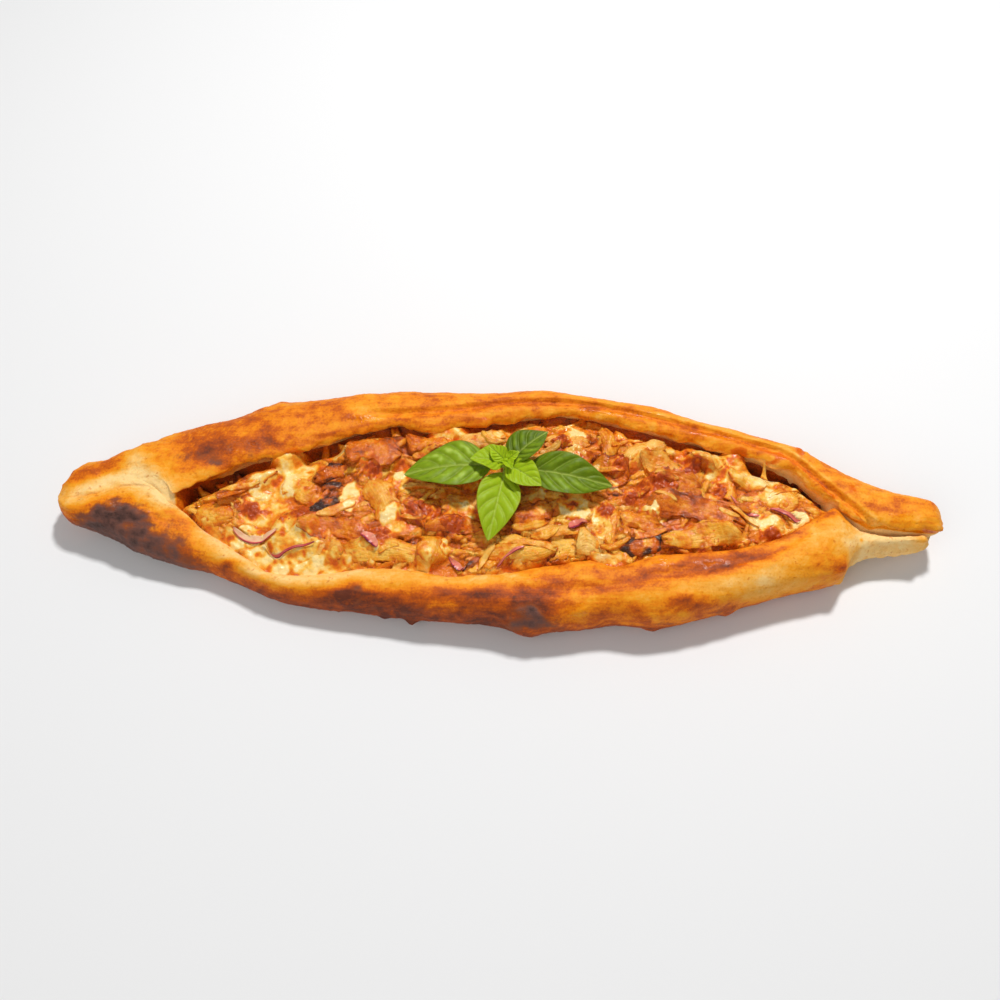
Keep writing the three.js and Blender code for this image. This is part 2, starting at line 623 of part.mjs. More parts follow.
const MATERIALS = {
  crust: new THREE.MeshStandardMaterial({ color: 0xe59a45, roughness: 0.55, metalness: 0 }),
  cheese: new THREE.MeshStandardMaterial({ color: 0xf1cf88, roughness: 0.4, metalness: 0 }),
  chicken: new THREE.MeshStandardMaterial({ color: 0xcf7f2e, roughness: 0.5, metalness: 0 }),
  onion: new THREE.MeshStandardMaterial({ color: 0xa8485c, roughness: 0.35, metalness: 0 }),
  basil: new THREE.MeshStandardMaterial({ color: 0x6f9f1f, roughness: 0.45, metalness: 0 }),
};

const pide = new THREE.Group();
const two = (k) => String(k + 1).padStart(2, "0");

const crust = makeCrust();
raise(stations().map(crustRing).map((ring) => ring.slice(5, SECTION_SAMPLES - 4)));
placed.push({ x: 0, y: 0, reach: 1000, body: crust });
pide.add(meshOf("crust", crust, MATERIALS.crust));

const bed = makeBed();
placed.push({ x: 0, y: 0, reach: 1000, body: bed });
pide.add(meshOf("cheese_bed", bed, MATERIALS.cheese));

SLICES.forEach((slice, k) => pide.add(meshOf(`chicken_${two(k)}`, lay(slice, 6, 2), MATERIALS.chicken)));
ONIONS.forEach(([x, y, heading, length, width, bow], k) =>
  pide.add(meshOf(`onion_${two(k)}`, lay([x, y, heading, length, width, 1.4, bow], 6, 1), MATERIALS.onion)),
);
pide.add(meshOf("basil_sprig", makeSprig(), MATERIALS.basil));

export default pide;
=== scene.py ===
"""A Turkish pide: a boat of baked dough with melted cheese, roast chicken, red onion and a sprig of basil.

Lengths in the shape code are in millimetres, +X along the boat, +Y away from the viewer and +Z up. They
become metres where a mesh is made. "Near" is the -Y side and "far" the +Y side.
"""

import itertools
import math

import bmesh
import bpy
import numpy as np
from bpy.props import FloatProperty, FloatVectorProperty, IntProperty, PointerProperty
from mathutils import Matrix, Vector


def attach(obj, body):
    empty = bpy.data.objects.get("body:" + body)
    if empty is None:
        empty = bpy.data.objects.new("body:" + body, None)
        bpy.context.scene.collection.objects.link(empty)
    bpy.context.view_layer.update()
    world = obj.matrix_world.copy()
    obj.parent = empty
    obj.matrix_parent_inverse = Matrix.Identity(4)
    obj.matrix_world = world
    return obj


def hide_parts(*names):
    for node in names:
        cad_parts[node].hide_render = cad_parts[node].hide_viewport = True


bl_info = {
    "name": "Turkish pide",
    "version": (1, 0, 0),
    "blender": (4, 5, 0),
    "location": "3D View > Sidebar > Pide",
    "description": "Dresses the pide's frame with baked dough, cheese, chicken, onion and basil",
    "category": "Add Mesh",
}

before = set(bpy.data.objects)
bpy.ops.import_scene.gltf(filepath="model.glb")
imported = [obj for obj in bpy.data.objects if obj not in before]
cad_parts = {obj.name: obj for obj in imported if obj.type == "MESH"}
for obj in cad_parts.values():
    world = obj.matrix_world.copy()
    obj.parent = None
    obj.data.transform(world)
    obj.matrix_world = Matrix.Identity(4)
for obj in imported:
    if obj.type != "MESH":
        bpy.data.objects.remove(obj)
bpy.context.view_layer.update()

MM = 0.001


# ---------------------------------------------------------------- numbers


def curve(points):
    """A smooth function through [x, value] points, flat beyond both ends."""
    xs, values = np.array(points, float).T
    before = np.maximum(np.arange(len(xs)) - 1, 0)
    after = np.minimum(np.arange(len(xs)) + 1, len(xs) - 1)
    slopes = (values[after] - values[before]) / (xs[after] - xs[before])

    def value_at(x):
        x = np.clip(x, xs[0], xs[-1])
        i = np.clip(np.searchsorted(xs, x, side="left") - 1, 0, len(xs) - 2)
        step = xs[i + 1] - xs[i]
        t = (x - xs[i]) / step
        u = 1 - t
        ends = values[i] * u * u * (1 + 2 * t) + values[i + 1] * t * t * (3 - 2 * t)
        return ends + slopes[i] * step * t * u * u - slopes[i + 1] * step * t * t * u

    return value_at


def lerp(a, b, t):
    """The value that is the share t of the way from a to b."""
    return a + (b - a) * t


def clamp01(t):
    """t held between 0 and 1."""
    return np.clip(t, 0.0, 1.0)


def smooth(start, end, x):
    """0 before start and 1 after end, with an even turn at both; start may be above end."""
    t = clamp01((x - start) / (end - start))
    return t * t * (3 - 2 * t)


def bell(away, reach):
    """1 where away is 0, falling smoothly to almost nothing at twice the reach."""
    return np.exp(-((away / reach) ** 2))


def dome(away, power):
    """1 where away is 0 and 0 from 1 on, the rounder the lower the power."""
    return clamp01(1 - away**2) ** power


def distance(points, place):
    """How far each of the points lies from place."""
    return np.linalg.norm(points - place, axis=-1)


def plan(x, y):
    """The places x, y as points at height 0."""
    return np.stack([x, y, 0 * x], axis=-1)


def turned(x, y, heading):
    """x, y as lengths along and across a heading in degrees."""
    turn = math.radians(heading)
    return x * math.cos(turn) + y * math.sin(turn), y * math.cos(turn) - x * math.sin(turn)


def linear(red, green, blue):
    """A colour given as 0 to 255 on a screen, as Blender's linear red, green and blue."""
    return tuple(((c / 255 + 0.055) / 1.055) ** 2.4 if c > 10 else c / 3295 for c in (red, green, blue))


def colour_setting(name, description, *screen):
    """A colour that a user can change; screen is its default, 0 to 255 for red, green and blue."""
    return FloatVectorProperty(name=name, description=description, subtype="COLOR", default=linear(*screen))


class Noise:
    """Smooth noise of about -1 to 1, the same for every run with the same seed."""

    def __init__(self, seed):
        draw = np.random.default_rng(seed)
        self.order = draw.permutation(256)
        slopes = draw.normal(size=(256, 3))
        self.slopes = slopes / np.linalg.norm(slopes, axis=1, keepdims=True)

    def __call__(self, points, size, octaves=1):
        """The noise at points, where size is the width of one swell, as one number or one for each axis."""
        points = np.asarray(points, float) / size
        total, share = 0.0, 1.0
        for _ in range(octaves):
            total = total + share * self._octave(points)
            points = points * 2.03 + 17.7
            share *= 0.5
        return total

    def _octave(self, points):
        cell = np.floor(points).astype(int)
        inside = points - cell
        fade = inside**3 * (inside * (inside * 6 - 15) + 10)
        total = np.zeros(points.shape[:-1])
        for corner in itertools.product((0, 1), repeat=3):
            at = (cell + corner) % 256
            key = self.order[(self.order[(self.order[at[..., 0]] + at[..., 1]) % 256] + at[..., 2]) % 256]
            rise = (self.slopes[key] * (inside - corner)).sum(-1)
            total += rise * np.prod(np.where(corner, fade, 1 - fade), axis=-1)
        return 1.8 * total


def spots(points, rows):
    """The sum of soft round marks at points; a row is middle x, y, z, reach in x, y, z, then strength."""
    total = np.zeros(points.shape[:-1])
    for x, y, z, reach_x, reach_y, reach_z, strength in rows:
        away = (points - (x, y, z)) / (reach_x, reach_y, reach_z)
        total += strength * np.exp(-(away**2).sum(-1))
    return total


# ---------------------------------------------------------------- meshes

WELD = 2e-7  # metres within which two corners become one
END_WELD = 1e-6  # the same where the dough's seam closes before its ends are filled
STEM_WELD = 1e-7  # the same where the stem closes


def add_grid(bm, points, **marks):
    """Adds a grid whose corners lie at points, an array of rows x columns x 3, each with its marks."""
    rows, columns = points.shape[:2]
    layers = {}
    for key, values in marks.items():
        kind = bm.verts.layers.float_vector if np.ndim(values) == 3 else bm.verts.layers.float
        layers[key] = kind.get(key) or kind.new(key)
    made = bmesh.ops.create_grid(bm, x_segments=columns - 1, y_segments=rows - 1, size=1.0)["verts"]
    for vert, place in zip(made, (MM * points.reshape(-1, 3)).tolist()):
        vert.co = place
    for key, values in marks.items():
        if np.ndim(values) == 3:
            spread = values.reshape(-1, 3).tolist()
        else:
            spread = np.broadcast_to(values, points.shape[:2]).reshape(-1).tolist()
        for vert, value in zip(made, spread):
            vert[layers[key]] = value
    return made


def finish_body(name, bm, material, nodes=()):
    """Welds bm's seams, turns its faces outwards and makes it a smooth piece that rides on the root."""
    bmesh.ops.remove_doubles(bm, verts=bm.verts, dist=WELD)
    bmesh.ops.recalc_face_normals(bm, faces=bm.faces)
    for face in bm.faces:
        face.smooth = True
    mesh = bpy.data.meshes.new(name)
    bm.to_mesh(mesh)
    bm.free()
    mesh.materials.append(material)
    piece = bpy.data.objects.new(name, mesh)
    bpy.context.scene.collection.objects.link(piece)
    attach(piece, "root")
    if nodes:
        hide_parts(*nodes)
    return piece


def node_points(name):
    """The separate corners of a frame node, in millimetres."""
    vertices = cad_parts[name].data.vertices
    places = np.empty(len(vertices) * 3, np.float32)
    vertices.foreach_get("co", places)
    return np.unique(np.round(places.reshape(-1, 3).astype(float) / MM, 3), axis=0)


def ring_normals(points):
    """Unit normals, pointing out, of a row of closed rings, by the differences of neighbouring points."""
    along = np.gradient(points, axis=0)
    around = np.roll(points, -1, axis=1) - np.roll(points, 1, axis=1)
    normals = np.cross(along, around)
    return normals / np.maximum(np.linalg.norm(normals, axis=-1, keepdims=True), 1e-9)


# ---------------------------------------------------------------- materials


class Finish:
    """A procedural material in the making: each method adds a node and gives back its output."""

    def __init__(self, name):
        self.material = bpy.data.materials.new(name)
        self.material.use_nodes = True
        self.tree = self.material.node_tree
        self.shader = self.tree.nodes["Principled BSDF"]
        self.place = self.node("ShaderNodeTexCoord").outputs["Object"]

    def node(self, kind, inputs=(), **settings):
        made = self.tree.nodes.new(kind)
        for key, value in settings.items():
            setattr(made, key, value)
        for key, value in dict(inputs).items():
            self.put(made.inputs[key], value)
        return made

    def put(self, socket, value):
        if isinstance(value, bpy.types.NodeSocket):
            self.tree.links.new(value, socket)
        else:
            socket.default_value = value

    def number(self, name):
        """A number that the mesh carries for each vertex."""
        return self.node("ShaderNodeAttribute", attribute_name=name).outputs["Fac"]

    def vector(self, name):
        """A vector that the mesh carries for each vertex."""
        return self.node("ShaderNodeAttribute", attribute_name=name).outputs["Vector"]

    def math(self, operation, a, b=0.0, c=0.0):
        return self.node("ShaderNodeMath", {0: a, 1: b, 2: c}, operation=operation).outputs[0]

    def noise(self, size, detail=3.0, roughness=0.55, stretch=(1.0, 1.0, 1.0), place=None):
        """Noise of about 0 to 1 whose swells are size wide, longer along an axis by stretch."""
        scaled = self.node("ShaderNodeVectorMath",
                           {0: place or self.place, 1: [1 / (size * s) for s in stretch]},
                           operation="MULTIPLY").outputs[0]
        inputs = {"Vector": scaled, "Scale": 1.0, "Detail": detail, "Roughness": roughness}
        return self.node("ShaderNodeTexNoise", inputs).outputs["Fac"]

    def varied(self, value, *parts):
        """value plus each noise of parts, given as (noise, amount), the noise taken round its middle."""
        for noise, amount in parts:
            offset = self.math("MULTIPLY_ADD", noise, amount, -0.5 * amount)
            value = self.math("ADD", value, offset)
        return value

    def ramp(self, value, stops):
        """The colour at value on a scale of (place, colour) stops."""
        made = self.node("ShaderNodeValToRGB", {"Fac": value})
        scale = made.color_ramp
        while len(scale.elements) < len(stops):
            scale.elements.new(0.5)
        for element, (place, colour) in zip(scale.elements, stops):
            element.position = place
            element.color = (*colour, 1.0)
        return made.outputs["Color"]

    def cells(self, size):
        """The distance from the middles of scattered cells that are size wide."""
        inputs = {"Vector": self.place, "Scale": 1 / size}
        return self.node("ShaderNodeTexVoronoi", inputs).outputs["Distance"]

    def step(self, value, start, end):
        """0 before start and 1 after end."""
        inputs = {"Value": value, "From Min": start, "From Max": end}
        return self.node("ShaderNodeMapRange", inputs, interpolation_type="SMOOTHSTEP").outputs[0]

    def span(self, value, low, high):
        """low where value is 0 and high where it is 1."""
        return self.node("ShaderNodeMapRange", {"Value": value, "To Min": low, "To Max": high}).outputs[0]

    def blend(self, share, a, b):
        """Colour a where share is 0 and b where it is 1."""
        made = self.node("ShaderNodeMix", data_type="RGBA")
        self.put(made.inputs["Factor"], share)
        self.put(made.inputs["A"], a if isinstance(a, bpy.types.NodeSocket) else (*a, 1.0))
        self.put(made.inputs["B"], b if isinstance(b, bpy.types.NodeSocket) else (*b, 1.0))
        return made.outputs["Result"]

    def bump(self, *layers):
        """Fine relief: each layer is (height, depth in metres)."""
        normal = None
        for height, depth in layers:
            inputs = {"Height": height, "Distance": depth, "Strength": 1.0}
            if normal is not None:
                inputs["Normal"] = normal
            normal = self.node("ShaderNodeBump", inputs).outputs["Normal"]
        return normal

    def shade(self, **inputs):
        """Sets the shader's sockets, given as names with _ for a space, and gives back the material."""
        for key, value in inputs.items():
            self.put(self.shader.inputs[key.replace("_", " ")], value)
        return self.material


# ---------------------------------------------------------------- the dough's form

LEFT_TIP = -198.0
RIGHT_TIP = 198.0
LOWER_PRONG_TIP = 191.0
FORK = 150.0  # from here on the two sides are prongs
NOSE_ROUND = 10.5
PRONG_ROUND = 6.5
FLOOR = 6.0  # thickness of the dough under the filling
OPENING_LEFT, OPENING_RIGHT = -143.0, 149.0
CORNER_RUN = 5.0
LEFT_CORNER_RUN = 16.0  # over which the lips grow thinner towards the opening's left corner
LIFT_NEAR_CORNER = 3.0  # how far the near lip rises to meet the far one at that corner
LIP_DROP, CORNER_LIP_DROP = 4.5, 2.4  # how far below the rim's top its lip lies
UNDER_DROP = 8.5  # how far below the rim's top its underside lies
SEAM_SHARES = (0.34, 0.54, 0.68, 0.79, 0.87, 0.93, 0.98)  # from a side's edge to the closed seam
SHUT_FROM, SHUT_TO = OPENING_LEFT + 1.5, OPENING_LEFT - 10.0  # where the lips close into the seam
LAP_FROM, LAP_TO = -174.0, -147.0  # where the far side comes to lie over the near one
LAP_DROP = 1.8

NEAR_EDGE = curve([
    [-198, -12], [-186, -15], [-172, -20.5], [-158, -26], [-144, -30], [-128, -33.5], [-112, -39],
    [-98, -45], [-80, -49.5], [-55, -52], [-30, -54.5], [-4, -56], [14, -59.2], [34, -57.5], [52, -55],
    [68, -56], [90, -51], [110, -44.5], [130, -38], [145, -34.5], [152, -31], [158, -24.5], [168, -20],
    [180, -18.6], [192, -17.5]])
FAR_EDGE = curve([
    [-198, 9], [-188, 17], [-175, 20.5], [-160, 27.5], [-145, 35], [-125, 40.5], [-105, 49.5], [-85, 52],
    [-60, 56], [-30, 57.6], [0, 57.3], [20, 59.8], [45, 56], [70, 52], [95, 44], [120, 37], [138, 31],
    [150, 23], [162, 15.5], [175, 10], [187, 6.5], [198, 5]])
NEAR_LIP = curve([
    [-143, -8.2], [-137, -12], [-130, -17], [-120, -23], [-111, -29.4], [-102, -34.8], [-92, -37.6],
    [-80, -38], [-66, -36], [-44, -34.6], [-20, -38.6], [0, -37.4], [20, -33.5], [38, -30.6],
    [52, -32.6], [70, -27.2], [90, -25.4], [110, -22], [125, -16.5], [137, -9.5], [149, -1.6]])
FAR_LIP = curve([
    [-143, -5.4], [-137, -0.6], [-130, 3.8], [-120, 8.8], [-112, 12.8], [-95, 17.6], [-80, 24],
    [-65, 29.5], [-45, 34.5], [-34, 31], [-15, 34.5], [5, 38.5], [25, 41.8], [45, 41], [60, 36.5],
    [80, 32], [100, 26.5], [120, 21], [133, 15.5], [142, 5.5], [149, 0.6]])
SEAM = curve([
    [-190, -4.5], [-177, 2], [-164, 4.4], [-154, 0.4], [-143, -6.8], [0, 0], [149, -0.6], [154, -5],
    [160, -9.4], [168, -11.6], [180, -12.4], [192, -12.4]])
NEAR_TOP = curve([
    [-198, 19], [-175, 21.5], [-155, 21], [-140, 18.6], [-120, 16.4], [-95, 16.6], [-70, 18.4],
    [-40, 20.6], [0, 22.4], [40, 24], [80, 25], [120, 25.4], [147, 26], [158, 22], [170, 19.4],
    [191, 19.4]])
FAR_TOP = curve([
    [-198, 19], [-180, 22.6], [-155, 24.5], [-125, 26.5], [-80, 27.6], [0, 28.4], [60, 27.6],
    [110, 26.6], [150, 27], [175, 25.8], [198, 24]])
SOLE = curve([
    [-198, 9], [-185, 5], [-168, 1.8], [-150, 0], [-149, 0], [134, 0], [135, 0], [150, 1.6], [165, 4.6],
    [180, 7.2], [198, 9]])
# How far the wall under a rim lies behind its lip, or in front of it where the number is below 0.
NEAR_UNDERCUT = curve([
    [-145, 0], [-125, -4], [-95, -5], [-60, -3], [-25, 0.5], [20, 2.4], [120, 2.4], [149, 0.4]])
FAR_UNDERCUT = curve([
    [-145, 3.6], [-140, 6], [-130, 6.4], [-110, 5.4], [-90, 5], [-40, 4], [60, 3.4], [110, 3.4],
    [135, 2], [149, 0.4]])
SEAM_DEPTH = curve([
    [-194, 0.2], [-182, 0.8], [-160, 0.8], [-146, 1.4], [-140, 1.8], [148, 9], [156, 7.4], [192, 6]])
SEAM_HALF_WIDTH = curve([
    [-190, 6], [-166, 7], [-155, 5], [-143, 1.2], [149, 0.9], [160, 0.6], [192, 0.5]])

NEAR_CREASE = curve([
    [2, -45.6], [27, -45.4], [44, -43.8], [61, -40.4], [79, -36.8], [105, -30.8], [123, -23.8],
    [140, -12.4]])
FAR_CREASE = curve([
    [-62, 39.6], [-28, 42], [-10, 45], [18, 48.6], [46, 47], [92, 36.5], [110, 31], [127.5, 25.2],
    [136, 19.2], [141.5, 12.8], [148.7, 5.4], [158.3, -4], [164, -9.4], [168, -12]])
NOSE_CREASE = curve([[-187, -5], [-178, -3.5], [-172, -1.4], [-162, 0.6], [-147, -2.6]])
# Each crease: its line, where it starts and ends along the boat, its depth, its half width inside and
# outside the line, and the place round the section where it may start.
CREASES = [
    (NEAR_CREASE, -4, 143, 1.4, 2.6, 3.2, 0), (FAR_CREASE, -66, 173, 2.3, 2.6, 0.7, 13),
    (NOSE_CREASE, -196, -148, 1.0, 1.4, 0.7, 0)]
CREASE_START_RUN, CREASE_END_RUN = 14.0, 10.0
CREASE_LOW, CREASE_HIGH = 12.0, 17.0  # a crease starts above the first height and is whole from the other

# The large swellings: middle x, y, z, radius and how far they stand out, or sink in below 0.
SWELLINGS = [
    (14, -56, 8, 9, 2.4), (-36, -54, 5, 3.4, 3.0), (-48, -52, 5, 3, 1.4), (68, -55, 6, 5, 1.6),
    (101, -48, 5, 5, 2.0), (152, -31, 9, 4, 1.8), (-172, -19, 12, 16, -1.4), (-182, 16, 14, 15, -2.2),
    (-174, -9, 22, 5, 0.9), (-158, -14, 22, 6, 0.8),
    (-104, 48, 18, 6, 1.6), (22, 58, 20, 5, 1.4), (68, 52, 18, 4, 1.8), (139, 30, 18, 5, 2.4)]
SWELL_STEEPNESS = 1.5


def is_open(x):
    """Where the boat is open on top."""
    return (x >= OPENING_LEFT) & (x <= OPENING_RIGHT)


def middle_of(x):
    """The line halfway between the lips, or the seam where they meet."""
    return np.where(is_open(x), (NEAR_LIP(x) + FAR_LIP(x)) / 2, SEAM(x))


def half_gap_of(x):
    """Half the distance between the lips, or half the seam's width."""
    return np.where(is_open(x), (FAR_LIP(x) - NEAR_LIP(x)) / 2, SEAM_HALF_WIDTH(x))


def openness(x):
    """How far the hollow has reached its full depth, from 0 at its corners to 1."""
    left = smooth(OPENING_LEFT, OPENING_LEFT + CORNER_RUN, x)
    return left * smooth(OPENING_RIGHT, OPENING_RIGHT - CORNER_RUN, x)


def half_section(x, side):
    """One side's section, from the sole up the wall, over the rim and down to the floor, as (y, z) pairs."""
    near = side < 0
    edge = (NEAR_EDGE if near else FAR_EDGE)(x)
    top = (NEAR_TOP if near else FAR_TOP)(x)
    undercut = (NEAR_UNDERCUT if near else FAR_UNDERCUT)(x)
    sole = np.maximum(0, SOLE(x))
    height = top - sole
    lip = middle_of(x) + side * half_gap_of(x)
    centre = (NEAR_EDGE(x) + FAR_EDGE(x)) / 2
    floor = lerp(top - SEAM_DEPTH(x), sole + FLOOR, openness(x))
    depth = top - floor
    corner = smooth(OPENING_LEFT + LEFT_CORNER_RUN, OPENING_LEFT, x)
    lip_drop = np.minimum(lerp(LIP_DROP, CORNER_LIP_DROP, corner), 0.5 * depth)
    lifted = LIFT_NEAR_CORNER * corner * near
    under_drop = np.minimum(UNDER_DROP, 0.75 * depth)
    foot = lip + side * np.where(undercut > 0, undercut, 2 * undercut)
    points = [
        (lerp(edge, centre, 0.62), sole),  # the sole
        (lerp(edge, centre, 0.13), sole),
        (edge - side * 0.3, sole + 0.22 * height),  # the outer wall
        (edge + side * 0.9, sole + 0.5 * height),
        (edge - side * 1.4, sole + 0.84 * height),
        (lerp(edge, lip, 0.36), top + 0.5),  # the rim's top
        (lerp(edge, lip, 0.74), top + 0.8),
        (lip + side * 0.1, top - 0.45 * lip_drop + 0.6 * lifted),  # the lip
        (lip, top - lip_drop + lifted),
        (lip + side * undercut, top - under_drop + 0.6 * lifted),  # the rim's underside
        (foot, floor + 0.18 * depth),  # the inner wall
        (lerp(foot, middle_of(x), 0.3), floor),
    ]
    shut = smooth(SHUT_FROM, SHUT_TO, x)
    lapped = smooth(LAP_FROM, LAP_TO, x)
    seam_top = lerp((NEAR_TOP(x) + FAR_TOP(x)) / 2 - SEAM_DEPTH(x), FAR_TOP(x) - LAP_DROP, lapped)
    for k, share in enumerate(SEAM_SHARES, start=len(points) - len(SEAM_SHARES)):
        y, z = points[k]
        seam_y = lerp(edge, middle_of(x), share)
        seam_z = lerp(top + 0.5, seam_top, smooth(lerp(0.3, 0.8, lapped * (side > 0)), 1, share))
        points[k] = (lerp(y, seam_y, shut), lerp(z, seam_z, shut))
    return points, floor


# A section's control points: 0 is the sole's middle, then the near side's, the floor's middle and the
# far side's. A "place round the section" counts along them, up to 26, which is 0 again.
LOBE = 12  # control points of one side


def round_end(inwards, run):
    """How much of its full size a section keeps near a rounded end."""
    return np.sqrt(np.maximum(0.001, 1 - (1 - clamp01(inwards / run)) ** 2))


def section_controls(x):
    """The control points of the sections at stations x; past the fork the two sides end separately."""
    near, near_floor = half_section(x, -1)
    far, far_floor = half_section(x, 1)
    share = clamp01((x - FORK) / (RIGHT_TIP - FORK))
    near_x = np.where(x < FORK, x, lerp(FORK, LOWER_PRONG_TIP, share))
    far_x = np.where(x < FORK, x, lerp(FORK, RIGHT_TIP, share))
    centre = (NEAR_EDGE(x) + FAR_EDGE(x)) / 2
    between = (near_x + far_x) / 2
    ring = [(between, centre, SOLE(x))]
    ring += [(near_x, y, z) for y, z in near]
    ring += [(between, middle_of(x), (near_floor + far_floor) / 2)]
    ring += [(far_x, y, z) for y, z in reversed(far)]
    keep = np.where(x > 0, round_end(RIGHT_TIP - x, PRONG_ROUND), round_end(x - LEFT_TIP, NOSE_ROUND))
    controls = []
    for k, (along, y, z) in enumerate(ring):
        near_lobe = 0 < k <= LOBE
        far_lobe = k > LOBE + 1
        edge = NEAR_EDGE(x) if near_lobe else FAR_EDGE(x)
        top = NEAR_TOP(x) if near_lobe else FAR_TOP(x)
        split = (x > 0) & (near_lobe or far_lobe)
        hub_y = np.where(split, (edge + SEAM(x)) / 2, centre)
        hub_z = np.where(split, (SOLE(x) + top) / 2, (SOLE(x) + FAR_TOP(x)) / 2)
        controls.append(np.stack([along, lerp(hub_y, y, keep), lerp(hub_z, z, keep)], axis=-1))
    return np.stack(controls, axis=1)


def closed_spline(controls, where):
    """The closed smooth curves that the control points pull, read at where, counted in control points."""
    count = controls.shape[1]
    first = np.floor(where).astype(int)
    t = where - first
    weights = [(1 - t) ** 3, 3 * t**3 - 6 * t**2 + 4, -3 * t**3 + 3 * t**2 + 3 * t + 1, t**3]
    pulls = [w[None, :, None] / 6 * controls[:, (first + m - 1) % count] for m, w in enumerate(weights)]
    return sum(pulls)


def crust_rings(x, where):
    """The dough's surface at stations x, with its creases and large swellings."""
    controls = section_controls(np.asarray(x, float))
    rings = closed_spline(controls, where)
    centre = controls.mean(axis=1)[:, None, :]
    along, across, high = np.moveaxis(rings, -1, 0)
    lowered = np.zeros(rings.shape[:2])
    for line, start, end, depth, inside, outside, first in CREASES:
        here = smooth(start, start + CREASE_START_RUN, along) * smooth(end, end - CREASE_END_RUN, along)
        on_top = smooth(CREASE_LOW, CREASE_HIGH, high) * (where > first)
        away = across - line(along)
        lowered += depth * here * on_top * bell(away, np.where(away > 0, outside, inside))
    out = rings - centre
    out[..., 0] = 0
    out[..., 2] = np.maximum(0, out[..., 2])
    out /= np.maximum(np.linalg.norm(out, axis=-1, keepdims=True), 1e-6)
    raised = np.zeros(rings.shape)
    for *middle, radius, swell in SWELLINGS:
        raised += (swell * bell(SWELL_STEEPNESS * distance(rings, middle), radius))[..., None] * out
    rings = rings + raised
    rings[..., 2] -= lowered
    return rings


# ---------------------------------------------------------------- the dough's surface

# (from, to, step) along the boat between its rounded ends.
STATION_STEPS = [(-184.5, -134, 1.0), (-134, 134, 1.2), (134, 152, 0.6), (152, 188.6, 0.8)]
# (from, to, samples) round the section, in control points.
SECTION_STEPS = [(0, 2.2, 8), (2.2, 10.8, 80), (10.8, 15.2, 16), (15.2, 23.8, 80), (23.8, 26, 8)]
END_SAMPLES = 14
END_START = 0.045  # of a quarter turn, where the first ring of a rounded end lies
NEAR_BROW, FAR_BROW = 4.5, 21.5  # places round the section between which the top's browning lies
FAR_LIP_PLACE = 16.8  # the place round the section where the far lip begins, counted from the floor

# Browning round the section at places along the boat: (x, [(place round the section, browning)]). The
# sole's browning comes before and after each.
SOLE_BAKE = 0.7
SOLE_END, SOLE_START = 24, 26  # places round the section
BAKE_PROFILES = [
    (-110, [
        (2, 0.8), (3.4, 0.84), (4.4, 0.76), (5, 0.68), (5.4, 0.54), (5.8, 0.37), (6.3, 0.24),
        (7, 0.15), (8, 0.12), (9.5, 0.08), (11, 0.1), (15, 0.14), (16.6, 0.16), (17.3, 0.4),
        (17.9, 0.5), (18.6, 0.54), (19.5, 0.6), (20.4, 0.62), (21.4, 0.6), (22.2, 0.54), (23, 0.56)]),
    (-50, [
        (2, 0.84), (3.4, 0.92), (4.4, 0.9), (4.9, 0.84), (5.3, 0.78), (5.65, 0.68), (5.95, 0.5),
        (6.3, 0.34), (6.8, 0.24), (7.2, 0.19), (8, 0.22), (9.5, 0.1), (11, 0.1), (15, 0.14),
        (16.6, 0.2), (17.3, 0.42), (17.9, 0.62), (18.3, 0.7), (18.6, 0.47), (19.2, 0.52), (20.4, 0.56),
        (21.4, 0.56), (22.2, 0.5), (23, 0.56)]),
    (-14, [
        (2, 0.84), (3.4, 0.9), (4.4, 0.88), (4.9, 0.78), (5.3, 0.72), (5.75, 0.76), (6.1, 0.8),
        (6.5, 0.72), (6.9, 0.54), (7.4, 0.36), (8, 0.4), (9.5, 0.2), (11, 0.12), (15, 0.14),
        (16.6, 0.2), (17.3, 0.5), (17.9, 0.52), (18.3, 0.64), (18.7, 0.48), (19.3, 0.6), (20.4, 0.56),
        (21.4, 0.58), (22.2, 0.5), (23, 0.56)]),
    (42, [
        (2, 0.8), (3.4, 0.78), (4, 0.7), (4.6, 0.58), (5.2, 0.52), (5.8, 0.52), (6.2, 0.68),
        (6.5, 0.63), (6.9, 0.6), (7.2, 0.54), (7.5, 0.54), (8.2, 0.56), (9.5, 0.2), (11, 0.1), (15, 0.14),
        (16.6, 0.16), (17.3, 0.5), (17.9, 0.44), (18.4, 0.44), (19.1, 0.62), (19.7, 0.46), (20.6, 0.54),
        (21.6, 0.52), (22.4, 0.44), (23, 0.5)]),
    (95, [
        (2, 0.76), (3.4, 0.74), (4, 0.62), (4.5, 0.52), (5, 0.46), (5.5, 0.4), (5.8, 0.36),
        (6.1, 0.42), (6.35, 0.6), (6.6, 0.72), (6.8, 0.77), (7, 0.76), (7.3, 0.7), (7.6, 0.68),
        (8.2, 0.66), (9.5, 0.2), (11, 0.1), (15, 0.1), (16.6, 0.12), (17.3, 0.3), (17.9, 0.46),
        (18.6, 0.52), (19.2, 0.62), (19.8, 0.5), (20.6, 0.54), (21.6, 0.54), (22.4, 0.48), (23, 0.5)]),
    (140, [
        (2, 0.7), (3.4, 0.62), (4, 0.5), (4.6, 0.44), (5.2, 0.4), (5.8, 0.4), (6.2, 0.38), (6.6, 0.36),
        (7, 0.36), (7.4, 0.44), (7.7, 0.6), (8.2, 0.62), (9.5, 0.2), (11, 0.1), (15, 0.1), (16.6, 0.16),
        (17.3, 0.34), (18.2, 0.52), (19, 0.56), (19.6, 0.48), (20.6, 0.54), (21.6, 0.54), (22.4, 0.48),
        (23, 0.5)])]
